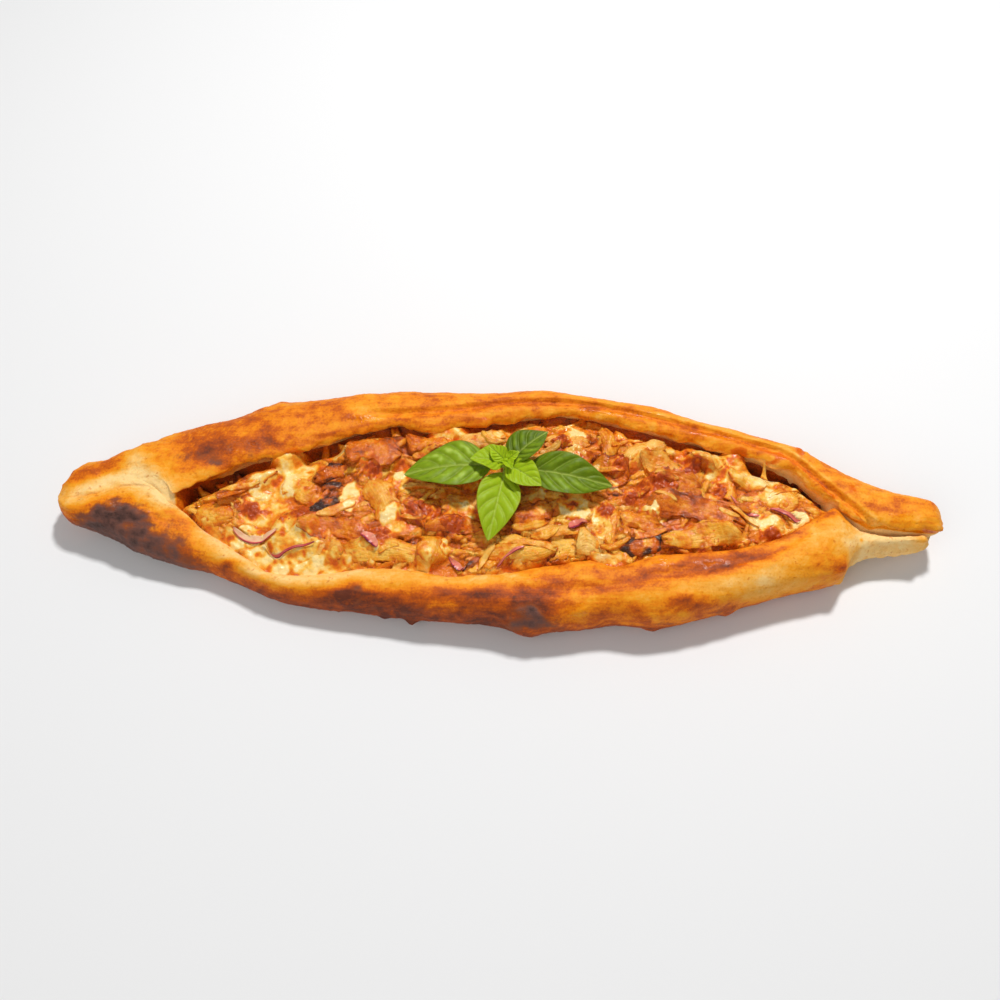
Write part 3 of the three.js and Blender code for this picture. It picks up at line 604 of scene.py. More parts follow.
# The top of the burnt side of the nose: place along the boat, place round the section.
BURN_TOP = curve([
    [-192, 5.0], [-185, 5.8], [-179, 6.5], [-172, 7.2], [-157, 7.3], [-150, 7.0], [-146, 6.9], [-138, 6.8],
    [-131, 6.5], [-124, 5.8], [-112, 5.1], [-100, 4.6]])
# Browner and paler places: middle x, y, z, reach in x, y, z, then how much.
BAKE_MARKS = [
    (-176, 9, 23, 12, 5, 8, 0.3), (-187, 5, 22, 6, 5, 7, 0.3), (-146, -5, 22, 5, 5, 8, -0.14),
    (-157, 5, 23, 7, 5, 8, -0.14), (-163, 11, 24, 5, 7, 8, -0.24), (-150, -1, 23, 8, 5, 8, -0.22),
    (-152, 14, 25, 6, 4, 6, 0.1), (-172, -6, 22, 6, 2.5, 6, 0.16), (-136, 16, 26, 13, 7, 8, 0.17),
    (-125, 17, 27, 10, 9, 8, 0.15), (-106, 22, 27, 9, 6, 8, 0.28), (-113, 31, 26, 14, 6, 8, 0.06),
    (-160, 22, 24, 8, 5, 8, 0.1), (152, -18, 24, 8, 5, 6, -0.1), (-104, 44, 20, 12, 5, 8, -0.1),
    (-68, 36, 27, 9, 2.6, 5, 0.14), (-34, 37.5, 27, 22, 1.8, 5, 0.16), (157, 6, 27, 6, 4, 6, 0.12),
    (60, -36, 24, 20, 2.4, 5, 0.08), (75, 34, 27, 5, 1.6, 4, 0.14), (90, 37, 27, 4, 1.6, 4, 0.16),
    (134, 12, 26, 12, 3, 6, -0.06), (-116, -33.7, 16, 4.6, 2, 4, 0.34), (-104, -34, 16, 9, 2.4, 5, 0.12),
    (-138, -27, 17, 9, 4, 6, 0.24), (-63, -46, 18.5, 13, 4.5, 6, 0.34), (-8, -48.7, 22, 12, 2.2, 5, 0.14),
    (15, -54, 20, 13, 6, 8, 0.28), (38, -52, 20, 10, 3.4, 6, 0.12), (29, -42.5, 24, 5, 1.8, 4, 0.14),
    (62, -52, 20, 8, 3.4, 5, 0.14), (81, -49, 21, 10, 3.6, 5, 0.36), (95, -49, 17, 9, 3.4, 6, 0.2),
    (105, -41, 24, 20, 3, 5, -0.1), (103, -50, 13, 6, 4, 5, 0.24), (125, -40, 16, 10, 3, 6, -0.12),
    (140, -29, 22, 6, 4, 6, 0.18), (149, -31, 20, 4.6, 3.4, 6, 0.34), (188, -15, 20, 5, 4, 6, 0.2),
    (147, -6, 25, 4, 4, 5, 0.12), (164, -3, 25, 10, 2.4, 6, 0.16), (178, -2, 25, 14, 5, 8, 0.1),
    (192, 0, 24, 7, 4, 8, 0.1), (159, -17.3, 20.7, 0.8, 0.8, 2, 0.6), (60, 46, 27, 20, 3, 6, 0.06)]
# Charred places, in the same order of numbers.
CHAR_MARKS = [
    (-130, 12.5, 26, 8, 3.8, 8, 0.48), (-123, 20, 27, 6, 3.4, 8, 0.5), (-127, 9.5, 26, 4, 2, 6, 0.3),
    (-140, 16, 26, 6, 3.6, 8, 0.4), (-104, 23.7, 27, 4, 2.4, 6, 0.46), (-108, 19.3, 27, 5, 2.4, 6, 0.36),
    (-169, -9.6, 22, 7, 3.6, 6, 0.46), (-157.5, -12, 21.8, 7, 4, 6, 0.46), (15.5, -56, 19, 6, 4, 5, 0.24),
    # The first row paints shade into the pin hole at the nose.
    (-187.4, -5.8, 19.8, 1.5, 0.9, 2, 0.6), (-164, -15, 20, 10, 4, 7, 0.1),
    (-58, -46.4, 18.9, 5, 2, 5, 0.5), (-68, -45.6, 18.4, 6, 2, 5, 0.36), (-48, -52.5, 13, 16, 3, 7, 0.36),
    (-80, -49, 10, 16, 3, 6, 0.34), (12.4, -54.6, 20, 7, 4, 6, 0.52), (19, -56.5, 18, 7, 4, 6, 0.46),
    (8, -58, 12, 14, 4, 7, 0.4), (30, -57, 14, 8, 3, 6, 0.44), (-33, -54, 14, 5, 3, 6, 0.44),
    (84, -50, 20, 6, 2.4, 4, 0.34), (72, -54.5, 13, 9, 3, 6, 0.34), (96, -49, 14, 8, 3, 6, 0.34),
    (151, -31, 17, 2.4, 2, 5, 0.3), (-20, 57, 8, 30, 5, 6, 0.2), (-150, 30, 8, 14, 6, 7, 0.3)]
# Burst bubbles, most of them in the burnt side: x, y, z, radius and rise.
BUBBLES = [
    (-171, -9.6, 22, 2.8, 1.4), (-166.5, -11.5, 22, 2.2, 1.1), (-168, -8.2, 22.6, 1.6, 0.9),
    (-162, -11.6, 22, 2.4, 1.1), (-158, -13, 21.8, 3.2, 1.6), (-154.5, -12.5, 21.5, 1.8, 0.9),
    (-152, -16, 20, 2, 0.5), (-174.5, -11.5, 21, 1.8, 0.5), (17, -55.6, 19, 3.6, 0.8),
    (10, -55, 20, 2.6, 0.6), (24, -55.6, 19, 1.8, 0.5), (110, 26.5, 26, 2.4, 0.9),
    (107, 25, 26, 1.6, 0.6), (112.6, 24.6, 26, 1.6, 0.6), (-91, 20.4, 26, 2.2, 0.7),
    (-93.4, 19, 25.6, 1.4, 0.5), (137, 27.4, 25.6, 2.2, 0.9), (140, 26, 25.6, 1.6, 0.7),
    (148.6, -30.6, 19, 3, 1.1), (102, -49, 13, 2.6, 0.9), (37, -53.6, 20.6, 1.6, 0.8),
    (33.6, -54.4, 20.3, 1.2, 0.6)]
# Where butter was brushed on and still shines, in the order of numbers of BAKE_MARKS.
GLOSS_MARKS = [
    (178, -9, 25, 9, 4, 8, 0.9), (80, -31, 25, 38, 3.4, 6, 0.5), (-62, 36, 27, 16, 3, 6, 0.8),
    (60, 43, 28, 40, 3, 6, 0.8), (100, 33, 27, 30, 3, 6, 0.7), (35, -54.4, 20, 5, 3, 5, 1),
    (-166, -10, 21, 12, 6, 8, 0.9), (15, -54, 21, 6, 3, 3, 0.6), (-120, 20, 26, 20, 8, 8, 0.4),
    (20, -40, 24, 20, 4, 5, 0.4), (-173, 6, 24, 14, 5, 8, 0.5)]
# Red stains of fat that ran out over the rim, in the same order of numbers.
STAIN_MARKS = [
    (-91, 19.6, 25.6, 4, 3.6, 7, 1.3), (110, 26, 26, 4.2, 3, 7, 1.2), (109, 23, 24, 3, 4, 7, 0.8),
    (125, 21.6, 26, 4, 2.6, 6, 0.9), (138, 27, 25, 5, 3.4, 6, 1.2), (141, 22.5, 26, 6, 3, 6, 0.5),
    (158, 6, 27, 4.4, 2.6, 6, 0.8), (-8, 38, 27, 12, 1.8, 5, 0.5), (86, 33, 27, 12, 1.6, 5, 0.5),
    (30, -43.5, 24, 7, 1.6, 5, 0.5), (64, -39, 24, 14, 1.6, 5, 0.45), (100, -33, 25, 16, 1.8, 5, 0.5)]
DIMPLE = (-187.4, -5.8, 19.8)  # the pin hole at the nose
DIMPLE_RADIUS, DIMPLE_DEPTH = 1.7, 2.4

BLISTER_RADIUS = (1.0, 3.2)
BLISTER_RISE = 0.24  # as a share of the radius
BLISTER_LOWEST = 4.0
PIT_RADIUS, PIT_DEPTH = 0.42, 0.5

FOLD_BAKE = 0.44  # the ends' browning on top, where the dough is folded shut
SEAM_PALE = 0.34
SEAM_REACH = 4.5
CREASE_BROWN = 0.07
# Lighter baking and a painted highlight along the ridge beside the far crease.
RIDGE_PALE_AND_HIGHLIGHT = 0.16
FAR_PRONG_BAKE, NEAR_PRONG_BAKE = 0.60, 0.05
# Painted shade and sauce stain that brown the corner under the lips at the opening's left end.
POCKET_SHADE_AND_STAIN = 0.62  # in the corner under the lips at the opening's left end
HALO_BAKE = 0.62  # the least browning round the burnt side
ROPE_STAIN = 0.62  # the red line along the far crease
BURN_FADE = (-102, -136)  # along the boat, where the burnt side ends and where it is whole


def crust_stations():
    """Places along the boat, closer together at the rounded ends and at the fork."""
    turn = np.linspace(END_START, 1, END_SAMPLES) * math.pi / 2
    nose = LEFT_TIP + NOSE_ROUND * (1 - np.cos(turn))
    prongs = RIGHT_TIP - PRONG_ROUND * (1 - np.cos(turn[::-1]))
    runs = [np.arange(start, end - 0.3 * step, step) for start, end, step in STATION_STEPS]
    return np.concatenate([nose, *runs, prongs])


def section_places():
    """Places round the section, closer together where it shows."""
    return np.concatenate([np.linspace(a, b, n, endpoint=False) for a, b, n in SECTION_STEPS])


def small_blisters(points, draw, count):
    """Rise of many small blisters, more of them on the near wall and the right half."""
    rows, columns = points.shape[:2]
    rise = np.zeros((rows, columns))
    made = 0
    while made < count:
        x, y, z = middle = points[draw.integers(rows), draw.integers(columns)]
        if z < BLISTER_LOWEST or draw.random() > 0.35 + 0.4 * (x > 20) + 0.4 * (y < -30):
            continue
        radius = lerp(*BLISTER_RADIUS, draw.random() ** 2.2)
        rise += BLISTER_RISE * radius * dome(distance(points, middle) / radius, 1.5)
        made += 1
    return rise


def crust_relief(points, settings):
    """How far each point of the dough stands out along its normal."""
    draw = np.random.default_rng(settings.seed)
    lumps, wrinkles, skin = (Noise(settings.seed + k) for k in range(3))
    x = points[..., 0]
    relief = 0.55 * lumps(points, 17, 2)
    stretched = wrinkles(points + 3 * lumps(points, 40)[..., None], (42, 4.4, 6.0), 3)
    relief += settings.wrinkle / MM * stretched * (0.6 + 0.4 * lumps(points + 90, 30))
    relief += 0.16 * skin(points, 2.1, 3)
    relief += 0.35 * skin(points + 140, 4.2, 3) * smooth(-138, -150, x)
    far_lip = bell(section_places() - 17.2, 0.8) * smooth(-146, -136, x)
    relief += 1.5 * wrinkles(points + 200, 8, 3) * far_lip
    relief += small_blisters(points, draw, settings.blisters)
    for _ in range(settings.pits):
        middle = points[draw.integers(len(points)), draw.integers(points.shape[1])]
        relief -= PIT_DEPTH * bell(distance(points, middle), PIT_RADIUS)
    for *middle, radius, rise in BUBBLES:
        relief += rise * dome(distance(points, middle) / radius, 0.8)
    relief += 0.3 * skin(points + 70, 2.6, 2) * smooth(-0.6, 0.4, spots(points, CHAR_MARKS) - 0.4)
    relief -= DIMPLE_DEPTH * bell(distance(points, DIMPLE), DIMPLE_RADIUS)
    return relief * smooth(0.3, 4, points[..., 2])


def profile_bake(x, places):
    """Browning at the places round the sections at x, between the two nearest profiles."""
    sole = [(0, SOLE_BAKE)], [(SOLE_END, SOLE_BAKE), (SOLE_START, SOLE_BAKE)]
    levels = np.array([np.interp(places, *zip(*sole[0], *profile, *sole[1])) for _, profile in BAKE_PROFILES])
    stations = [station for station, _ in BAKE_PROFILES]
    where = np.interp(x, stations, np.arange(len(stations)))
    first = np.minimum(where.astype(int), len(stations) - 2)
    column = np.broadcast_to(np.arange(len(places)), x.shape)
    return lerp(levels[first, column], levels[first + 1, column], smooth(0, 1, where - first))


def far_prong(x, places):
    """1 on the far prong's side that faces the near one, and 0 elsewhere."""
    return smooth(150, 160, x) * smooth(14.4, 15.2, places) * smooth(17.6, 16.6, places)


def fold_bake(bake, points, places):
    """The browning with what the folding gave it: pale seam, browner creases, the prongs, and painted shade
    under the lips.
    """
    x, y, z = np.moveaxis(points, -1, 0)
    on_top = ((places > NEAR_BROW) & (places < FAR_BROW))[None, :]
    closed = smooth(-136, -152, x) + smooth(149, 158, x)
    bake = np.where(on_top, lerp(bake, FOLD_BAKE, 0.7 * closed), bake)
    seam = bell(y - SEAM(x) - 0.5, SEAM_REACH) * closed
    seam = seam * np.where(x > 0, smooth(14.9, 14.2, places)[None, :], 1.0)
    bake = bake - SEAM_PALE * seam * on_top * smooth(-194, -186, x)
    for line, start, end, _, width, _, first in CREASES:
        along = smooth(start, start + 12, x) * smooth(end, end - 26, x) * (places > first)
        bake = bake + CREASE_BROWN * along * bell(y - line(x) + 0.4, 0.8 * width) * (z > 15)
    # The ridge beside the far crease is paler: lighter baking with a painted highlight.
    ridge = bell(y - FAR_CREASE(x) - 2.4, 1.4) * smooth(40, 100, x) * (x < 166)
    bake = bake - RIDGE_PALE_AND_HIGHLIGHT * ridge * (places > FAR_LIP_PLACE)
    bake = lerp(bake, FAR_PRONG_BAKE, 0.8 * far_prong(x, places))
    near_prong = smooth(150, 164, x - 0.3 * (y + 20)) * (places < 13.8)
    bake = lerp(bake, NEAR_PRONG_BAKE, 0.9 * near_prong)
    # The pocket under the lips at the opening's left corner: painted shade and sauce stain.
    pocket = smooth(-122, -136, x) * smooth(8.6, 9.6, places) * smooth(17.6, FAR_LIP_PLACE, places)
    return bake + POCKET_SHADE_AND_STAIN * pocket * is_open(x)


def crust_marks(points, places, seed):
    """Browning, charring, stains and gloss for each point of the dough, each from 0 to 1."""
    broad, patches, streaks = (Noise(seed + 10 + k) for k in range(3))
    x, y, _ = np.moveaxis(points, -1, 0)
    bake = profile_bake(x + 5 * broad(points + 300, 40), places)
    bake = fold_bake(bake, points, places) + spots(points, BAKE_MARKS)
    warped = points + 5 * broad(points + 60, 14, 2)[..., None]
    bake = bake + 0.08 * broad(points, 24, 2) + 0.10 * patches(warped, (10, 5, 5), 4)
    bake = bake + 0.06 * streaks(warped, (22, 3.0, 3.2), 3)

    ragged = 0.35 * patches(points + 20, 7, 3) + 0.25 * streaks(points + 30, (12, 3, 3), 2)
    top = BURN_TOP(x)
    burn = smooth(top + 1.2, top - 2.4, places + ragged) * smooth(1.0, 2.2, places)
    burn = burn * smooth(-200, -182, x) * smooth(*BURN_FADE, x)
    halo = smooth(top + 3.0, top - 0.4, places + 1.6 * ragged) * smooth(-102, -140, x)
    bake = np.maximum(bake, HALO_BAKE * halo * (places < LOBE))

    char = spots(warped, CHAR_MARKS) + lerp(0.86, 0.6, smooth(-160, -122, x)) * burn
    char = char + 0.2 * patches(points + 50, 4, 4) + 0.08 * streaks(points + 30, (16, 3, 3), 2)
    rope = bell(y - FAR_CREASE(x) + 2.6, 1.6) * smooth(70, 120, x) * (x < 166)
    stain = spots(warped, STAIN_MARKS) + ROPE_STAIN * rope * (places > FAR_LIP_PLACE)
    stain = smooth(0.2, 0.9, stain + 0.3 * patches(points + 120, 3.4, 3))
    gloss = spots(points, GLOSS_MARKS) + 0.08 + 0.3 * patches(points + 77, 9)
    gloss = gloss + 0.7 * stain + 0.6 * far_prong(x, places)
    return {"bake": clamp01(bake), "char": clamp01(0.9 * smooth(0.12, 1.1, char)), "stain": stain,
            "gloss": clamp01(gloss)}


def dough_material(settings):
    """Baked dough: cream where it was covered, orange to brown on top, charred and brushed with butter."""
    paint = Finish("baked_dough")
    mottle = paint.noise(0.0042, 4, 0.62)
    grain = paint.noise(0.0010, 3, 0.6)
    streak = paint.noise(0.0015, 3, 0.5, stretch=(9, 1, 1.4))
    bake = paint.varied(paint.number("bake"), (mottle, 0.28), (grain, 0.26), (streak, 0.20))
    colour = paint.ramp(bake, [
        (0.0, settings.cream), (0.15, settings.pale_gold), (0.30, settings.gold),
        (0.45, settings.golden_orange), (0.58, settings.orange), (0.70, settings.red_brown),
        (0.83, settings.brown), (0.96, settings.dark)])
    specks = paint.step(paint.noise(0.0020, 3, 0.5), 0.62, 0.74)
    colour = paint.blend(paint.math("MULTIPLY", specks, 0.5), colour, settings.red_brown)
    stain = paint.varied(paint.number("stain"), (mottle, 0.5), (grain, 0.3))
    colour = paint.blend(paint.step(stain, 0.15, 1.0), colour, settings.stain)
    char = paint.varied(paint.number("char"), (mottle, 0.45), (grain, 0.3))
    for start, end, shade in ((0.0, 0.46, settings.char_edge), (0.24, 0.78, settings.char),
                              (0.64, 1.10, settings.soot)):
        colour = paint.blend(paint.step(char, start, end), colour, shade)
    shine = paint.varied(paint.number("gloss"), (paint.noise(0.0020, 4, 0.65, stretch=(2, 1, 1)), 1.8))
    rough = paint.span(paint.step(shine, 0.45, 0.75), 0.6, 0.14)
    relief = paint.bump((grain, 0.00022), (paint.noise(0.0028, 3), 0.00030), (streak, 0.0002))
    return paint.shade(Base_Color=colour, Roughness=rough, Normal=relief, Subsurface_Weight=0.08,
                       Subsurface_Radius=(0.004, 0.0018, 0.0008), Subsurface_Scale=0.5,
                       Specular_IOR_Level=0.22)


class PideCrustSettings(bpy.types.PropertyGroup):
    """Relief and colours of the baked dough."""

    seed: IntProperty(name="Seed", description="Changes the lumps and the blisters", default=11)
    blisters: IntProperty(name="Blisters", description="Small blisters on the crust", default=150, min=0)
    pits: IntProperty(name="Pits", description="Pin holes in the crust", default=70, min=0)
    wrinkle: FloatProperty(name="Stretch marks", description="Height of the lengthwise wrinkles",
                           default=0.00042, min=0, unit="LENGTH")
    cream: colour_setting("Cream", "Dough that was covered", 251, 212, 142)
    pale_gold: colour_setting("Pale gold", "Lightly baked dough", 250, 198, 116)
    gold: colour_setting("Gold", "Golden dough", 246, 177, 74)
    golden_orange: colour_setting("Golden orange", "Well baked dough", 243, 157, 28)
    orange: colour_setting("Orange", "Browned dough", 235, 131, 12)
    red_brown: colour_setting("Red brown", "Dark stains", 202, 94, 8)
    stain: colour_setting("Stain", "Red fat that ran over the rim", 224, 104, 8)
    brown: colour_setting("Brown", "Strongly browned dough", 160, 70, 22)
    dark: colour_setting("Dark brown", "The darkest browning", 104, 50, 32)
    char_edge: colour_setting("Char edge", "Where charring starts", 150, 76, 36)
    char: colour_setting("Char", "Charred dough", 112, 74, 64)
    soot: colour_setting("Soot", "The darkest char", 58, 42, 38)


class PIDE_OT_crust(bpy.types.Operator):
    """Make the baked dough with its folded rims"""

    bl_idname = "pide.crust"
    bl_label = "Baked dough"

    def execute(self, context):
        settings = context.scene.pide_crust
        places = section_places()
        points = crust_rings(crust_stations(), places)
        points = points + ring_normals(points) * crust_relief(points, settings)[..., None]
        points[..., 2] = np.maximum(points[..., 2], 0)
        marks = crust_marks(points, places, settings.seed)
        loop = [*range(len(places)), 0]
        bm = bmesh.new()
        add_grid(bm, points[:, loop], **{key: value[:, loop] for key, value in marks.items()})
        bmesh.ops.remove_doubles(bm, verts=bm.verts, dist=END_WELD)
        bmesh.ops.holes_fill(bm, edges=bm.edges, sides=0)
        finish_body("baked_dough", bm, dough_material(settings), ["crust"])
        return {"FINISHED"}


# ---------------------------------------------------------------- the filling's surface

# How far the cheese lies below the top of each rim.
BED_DROP_NEAR = curve([[-142, 4], [-110, 2.4], [-60, 2.8], [-20, 4], [30, 5.5], [147, 7]])
BED_DROP_FAR = curve([[-142, 12], [-100, 12], [-60, 9.6], [-20, 8.6], [60, 8.6], [95, 10], [147, 12]])
BED_CROWN = 3.0


def bed_top(x, y):
    """Height of the cheese under the pieces, with slow lumps."""
    across = clamp01((y - NEAR_LIP(x)) / (FAR_LIP(x) - NEAR_LIP(x)))
    edge = lerp(NEAR_TOP(x) - BED_DROP_NEAR(x), FAR_TOP(x) - BED_DROP_FAR(x), across)
    crown = BED_CROWN * 4 * across * (1 - across) * openness(x)
    lumps = 0.8 * np.sin(x / 7.3 + 1.7 * np.sin(y / 9.1)) * np.cos(y / 6.1 + np.sin(x / 11.3))
    return edge + crown + lumps * smooth(0, 0.25, across) * smooth(1, 0.75, across)


class Filling:
    """The filling seen from above on a square grid: its height, and the flakes of chicken in its surface."""

    CELL = 0.45
    LOW, HIGH = (-152.0, -52.0), (158.0, 54.0)
    FAR_OFF = 99.0  # a height that nothing reaches
    BED_BROWN = 0.44
    PIECE_GAP = 0.4  # kept between the cheese and a piece that lies on it

    def __init__(self):
        self.shape = tuple(int((b - a) / self.CELL) for a, b in zip(self.LOW, self.HIGH))
        x = self.LOW[0] + self.CELL * np.arange(self.shape[0])[:, None]
        y = self.LOW[1] + self.CELL * np.arange(self.shape[1])[None, :]
        self.x, self.y = np.broadcast_arrays(x, y)
        self.base = bed_top(self.x, self.y)
        self.z = self.base.copy()
        self.pieces = np.full(self.shape, -self.FAR_OFF)
        self.ceiling = np.full(self.shape, self.FAR_OFF)
        self.brown = np.full(self.shape, self.BED_BROWN)
        self.pale = np.zeros(self.shape)
        self.grain = plan(self.x, self.y)

    def cells(self, x, y):
        """The cells that hold the places x, y, as two arrays of indices."""
        i = np.rint((np.asarray(x) - self.LOW[0]) / self.CELL).astype(int)
        j = np.rint((np.asarray(y) - self.LOW[1]) / self.CELL).astype(int)
        return np.clip(i, 0, self.shape[0] - 1), np.clip(j, 0, self.shape[1] - 1)

    def add_piece(self, points):
        """Notes the height of a separate piece."""
        flat = points.reshape(-1, 3)
        for dx, dy in itertools.product((-0.3, 0.3), repeat=2):
            np.maximum.at(self.pieces, self.cells(flat[:, 0] + dx, flat[:, 1] + dy), flat[:, 2])

    def keep_clear(self, points):
        """Keeps the cheese below a piece that lies on it."""
        flat = points.reshape(-1, 3)
        for dx, dy in itertools.product((-0.6, 0, 0.6), repeat=2):
            cells = self.cells(flat[:, 0] + dx, flat[:, 1] + dy)
            np.minimum.at(self.ceiling, cells, flat[:, 2] - self.PIECE_GAP)

    def top(self):
        """The height of the filling with its separate pieces."""
        return np.maximum(self.z, self.pieces)

    def lay_flake(self, noise, key, x, y, heading, size, bend, tilt, brown, pale):
        """Lays a torn flake into the surface; size is its length, width and thickness."""
        length, width, thick = size
        reach = length / 2 + 2.5
        i, j = self.cells(np.array([x - reach, x + reach]), np.array([y - reach, y + reach]))
        window = (slice(i[0], i[1] + 1), slice(j[0], j[1] + 1))
        along, aside = turned(self.x[window] - x, self.y[window] - y, heading)
        u = along / (length / 2)
        v = (aside - bend * (u * u - 0.4)) / (width / 2)
        flat = np.stack([along, aside, 0 * u + 11.3 * key], axis=-1)
        fibre = noise(flat, (12, 1.3, 1), 2)
        depth = 1 - np.abs(u) ** 3 - np.abs(v) ** 2 + 0.16 * noise(flat, (6, 3, 1), 2) + 0.12 * fibre
        inside = depth > 0
        if not inside.any():
            return
        rest = min(self.z[window][inside].mean(), self.base[window][inside].mean() + 1.3) - 0.35
        high = rest + thick * clamp01(depth) ** 0.5 + tilt * aside + 0.14 * fibre
        high = high + 0.3 * noise(flat, (9, 4, 1), 2)
        won = inside & (high > self.z[window])
        edge = smooth(0.4, 0.0, depth)
        # Raised fibres are painted a little lighter: a painted highlight.
        tone = brown + 0.14 * edge - 0.06 * fibre + 0.26 * noise(flat + 40, (9, 4, 1), 3)
        for field, value in ((self.z, high), (self.brown, tone), (self.pale, pale - 0.3 * edge)):
            field[window] = np.where(won, value, field[window])
        self.grain[window] = np.where(won[..., None], flat, self.grain[window])

    def blurred(self, heights, reach):
        """A copy of heights, softened over reach."""
        taps = int(3 * reach / self.CELL)
        weights = np.exp(-0.5 * (np.arange(-taps, taps + 1) * self.CELL / reach) ** 2)
        weights /= weights.sum()
        for axis in (0, 1):
            pad = [(taps, taps) if a == axis else (0, 0) for a in (0, 1)]
            padded = np.pad(heights, pad, mode="edge")
            length = heights.shape[axis]
            heights = sum(w * np.take(padded, np.arange(k, k + length), axis) for k, w in enumerate(weights))
        return heights

    def read(self, heights, x, y):
        """heights at x, y, between the four cells round each place."""
        fx = np.clip((x - self.LOW[0]) / self.CELL, 0, self.shape[0] - 1.001)
        fy = np.clip((y - self.LOW[1]) / self.CELL, 0, self.shape[1] - 1.001)
        i, j = fx.astype(int), fy.astype(int)
        u, v = fx - i, fy - j
        low = lerp(heights[i, j], heights[i + 1, j], u)
        return lerp(low, lerp(heights[i, j + 1], heights[i + 1, j + 1], u), v)


filling = Filling()


# ---------------------------------------------------------------- where the cheese melted

# Pools of melted cheese: middle x and y, then half length and half width.
POOLS = [
    (-112, -22, 10, 6), (-88, -26, 13, 8), (-100, 3, 12, 7), (-72, -33, 10, 4), (-94, -14, 10, 6),
    (-103.8, -9.4, 10.9, 7.6), (-97, -32, 13, 8), (-91, 12.4, 10.9, 6.6), (-74.5, 21.5, 5.2, 5.6),
    (-65.7, -3.1, 4.6, 8), (-43.3, 6.4, 3.9, 5), (-45, -12.6, 6.6, 8), (-54.1, -24.3, 5.2, 4.4),
    (-16.2, -9.8, 7.9, 7.1), (-31, -33.8, 3.5, 6), (33.2, -5.2, 6.6, 6.6), (17.7, 0, 3.5, 3.5),
    (44.9, -13.5, 4.4, 9.1), (99.4, 17.7, 7.4, 8.6), (119.7, 12.5, 7.9, 7.1), (117.2, -9.3, 7.9, 4.5),
    (133.6, -8.3, 4.8, 5), (35.9, 22.8, 5.7, 4.5), (32.5, 36, 6.6, 3), (-81.3, -36, 10.9, 3),
    (47.8, -29, 6.4, 3.5), (87, 22.8, 5, 3.6), (0, 31.6, 5, 3.4), (-22.4, -25.3, 2.2, 5),
    (64.7, 31.9, 5.2, 2.4), (67.3, -5.2, 4.4, 2.6), (123.4, 1.6, 6, 4)]
# Toasted blisters: middle x and y, then half length and half width.
TOASTS = [
    (-109.6, -9, 3.9, 4), (-55.9, 11.3, 4.4, 4.5), (-51, -19.8, 5.2, 4), (-32.9, -9.2, 7.4, 5.6),
    (47.7, -6.8, 3.9, 4), (59.5, -0.3, 3.5, 5), (66.9, 5.1, 4.4, 4), (-18.5, -16.3, 6.1, 3),
    (33.2, -4.2, 2.2, 2.5), (86.6, 16.3, 5.2, 3), (73.8, 6.9, 7, 4), (53, 15.2, 4.4, 4.5),
    (-87, -9.9, 4.4, 4), (-27, 20.8, 5.2, 3), (27.8, 29.7, 5.2, 2.5), (99.3, 6.1, 2.6, 5),
    (119, -16.2, 5.2, 2.5)]
# Where the filling is browner or paler: middle x, y, z, reach in x, y, z, then how much.
SAUCE_MARKS = [
    (-76, 2, 22, 10, 16, 40, 0.22), (-44, 24, 22, 9, 9, 40, 0.14), (56, 4, 22, 8, 8, 40, 0.08),
    (70, -6, 22, 16, 7, 40, 0.04), (-30, -22, 22, 16, 7, 40, 0.10), (12, -12, 22, 7, 7, 40, 0.10),
    (35, -26, 22, 18, 4, 40, -0.14), (62, 22, 22, 14, 8, 40, -0.10), (-56, -30, 22, 12, 4, 40, -0.08)]
ON_SLICES = 0.85  # how much of the melted cheese lies over the slices


def nearest_patch(x, y, patches, noise, ragged):
    """For each place the share of the way from the middle of its nearest patch to the patch's rim."""
    flat = plan(x, y)
    x = x + ragged * noise(flat, 6, 2)
    y = y + ragged * noise(flat + 50, 6, 2)
    shares = [np.hypot((x - px) / rx, (y - py) / ry) for px, py, rx, ry in patches]
    return np.min(shares, axis=0)


def melt_at(x, y):
    """How far melted cheese covers the filling at x, y, from 0 to 1, in pools and thin films."""
    noise = Noise(71)
    pools = smooth(1.35, 0.65, nearest_patch(x, y, POOLS, noise, 2.4))
    films = 0.7 * smooth(0.0, 0.6, noise(plan(x, y) + 200, 10, 3))
    return np.maximum(pools, films)


def melt_marks(x, y):
    """How far melted cheese covers the places x, y, and how far it is toasted there."""
    noise, grain = Noise(81), Noise(82)
    flat = plan(x, y)
    toast = smooth(1.8, 0.2, nearest_patch(x, y, TOASTS, noise, 1.8))
    melt = np.maximum(melt_at(x, y), smooth(0.3, 0.7, toast))
    patches = smooth(0.2, 0.8, grain(flat + 11, 5.0, 2))
    toast = toast * (0.8 + 0.5 * grain(flat, 1.8, 2)) + 0.42 * patches * melt
    tint = 0.16 + 0.34 * noise(flat + 61, 9, 3) + 0.46 * smooth(0.95, 0.35, melt)
    return melt, clamp01(toast + clamp01(tint))


# ---------------------------------------------------------------- the chicken

# Heading in degrees of each slice, then its look.
SLICES = [
    (-10, "glaze"), (34, "sauce"), (-28, "golden"), (26, "burnt"), (10, "tan"), (32, "crisp"), (-6, "crisp"),
    (-62, "flesh"), (-8, "crisp"), (-2, "golden"), (-20, "pale"), (82, "golden"), (-16, "sauce"), (14, "tan"),
    (-7, "golden"), (-10, "golden"), (6, "pale"), (28, "sauce"), (80, "golden"), (10, "pale"), (2, "flesh"),
    (30, "pale"), (-6, "tan"), (-80, "orange"), (-22, "crisp"), (2, "crisp"), (-13, "roast"), (2, "burnt"),
    (4, "golden"), (-12, "orange"), (-12, "golden"), (14, "orange"), (8, "pale"), (12, "pale"), (4, "sauce"),
    (84, "orange"), (-14, "orange"), (20, "tan"), (-24, "golden")]
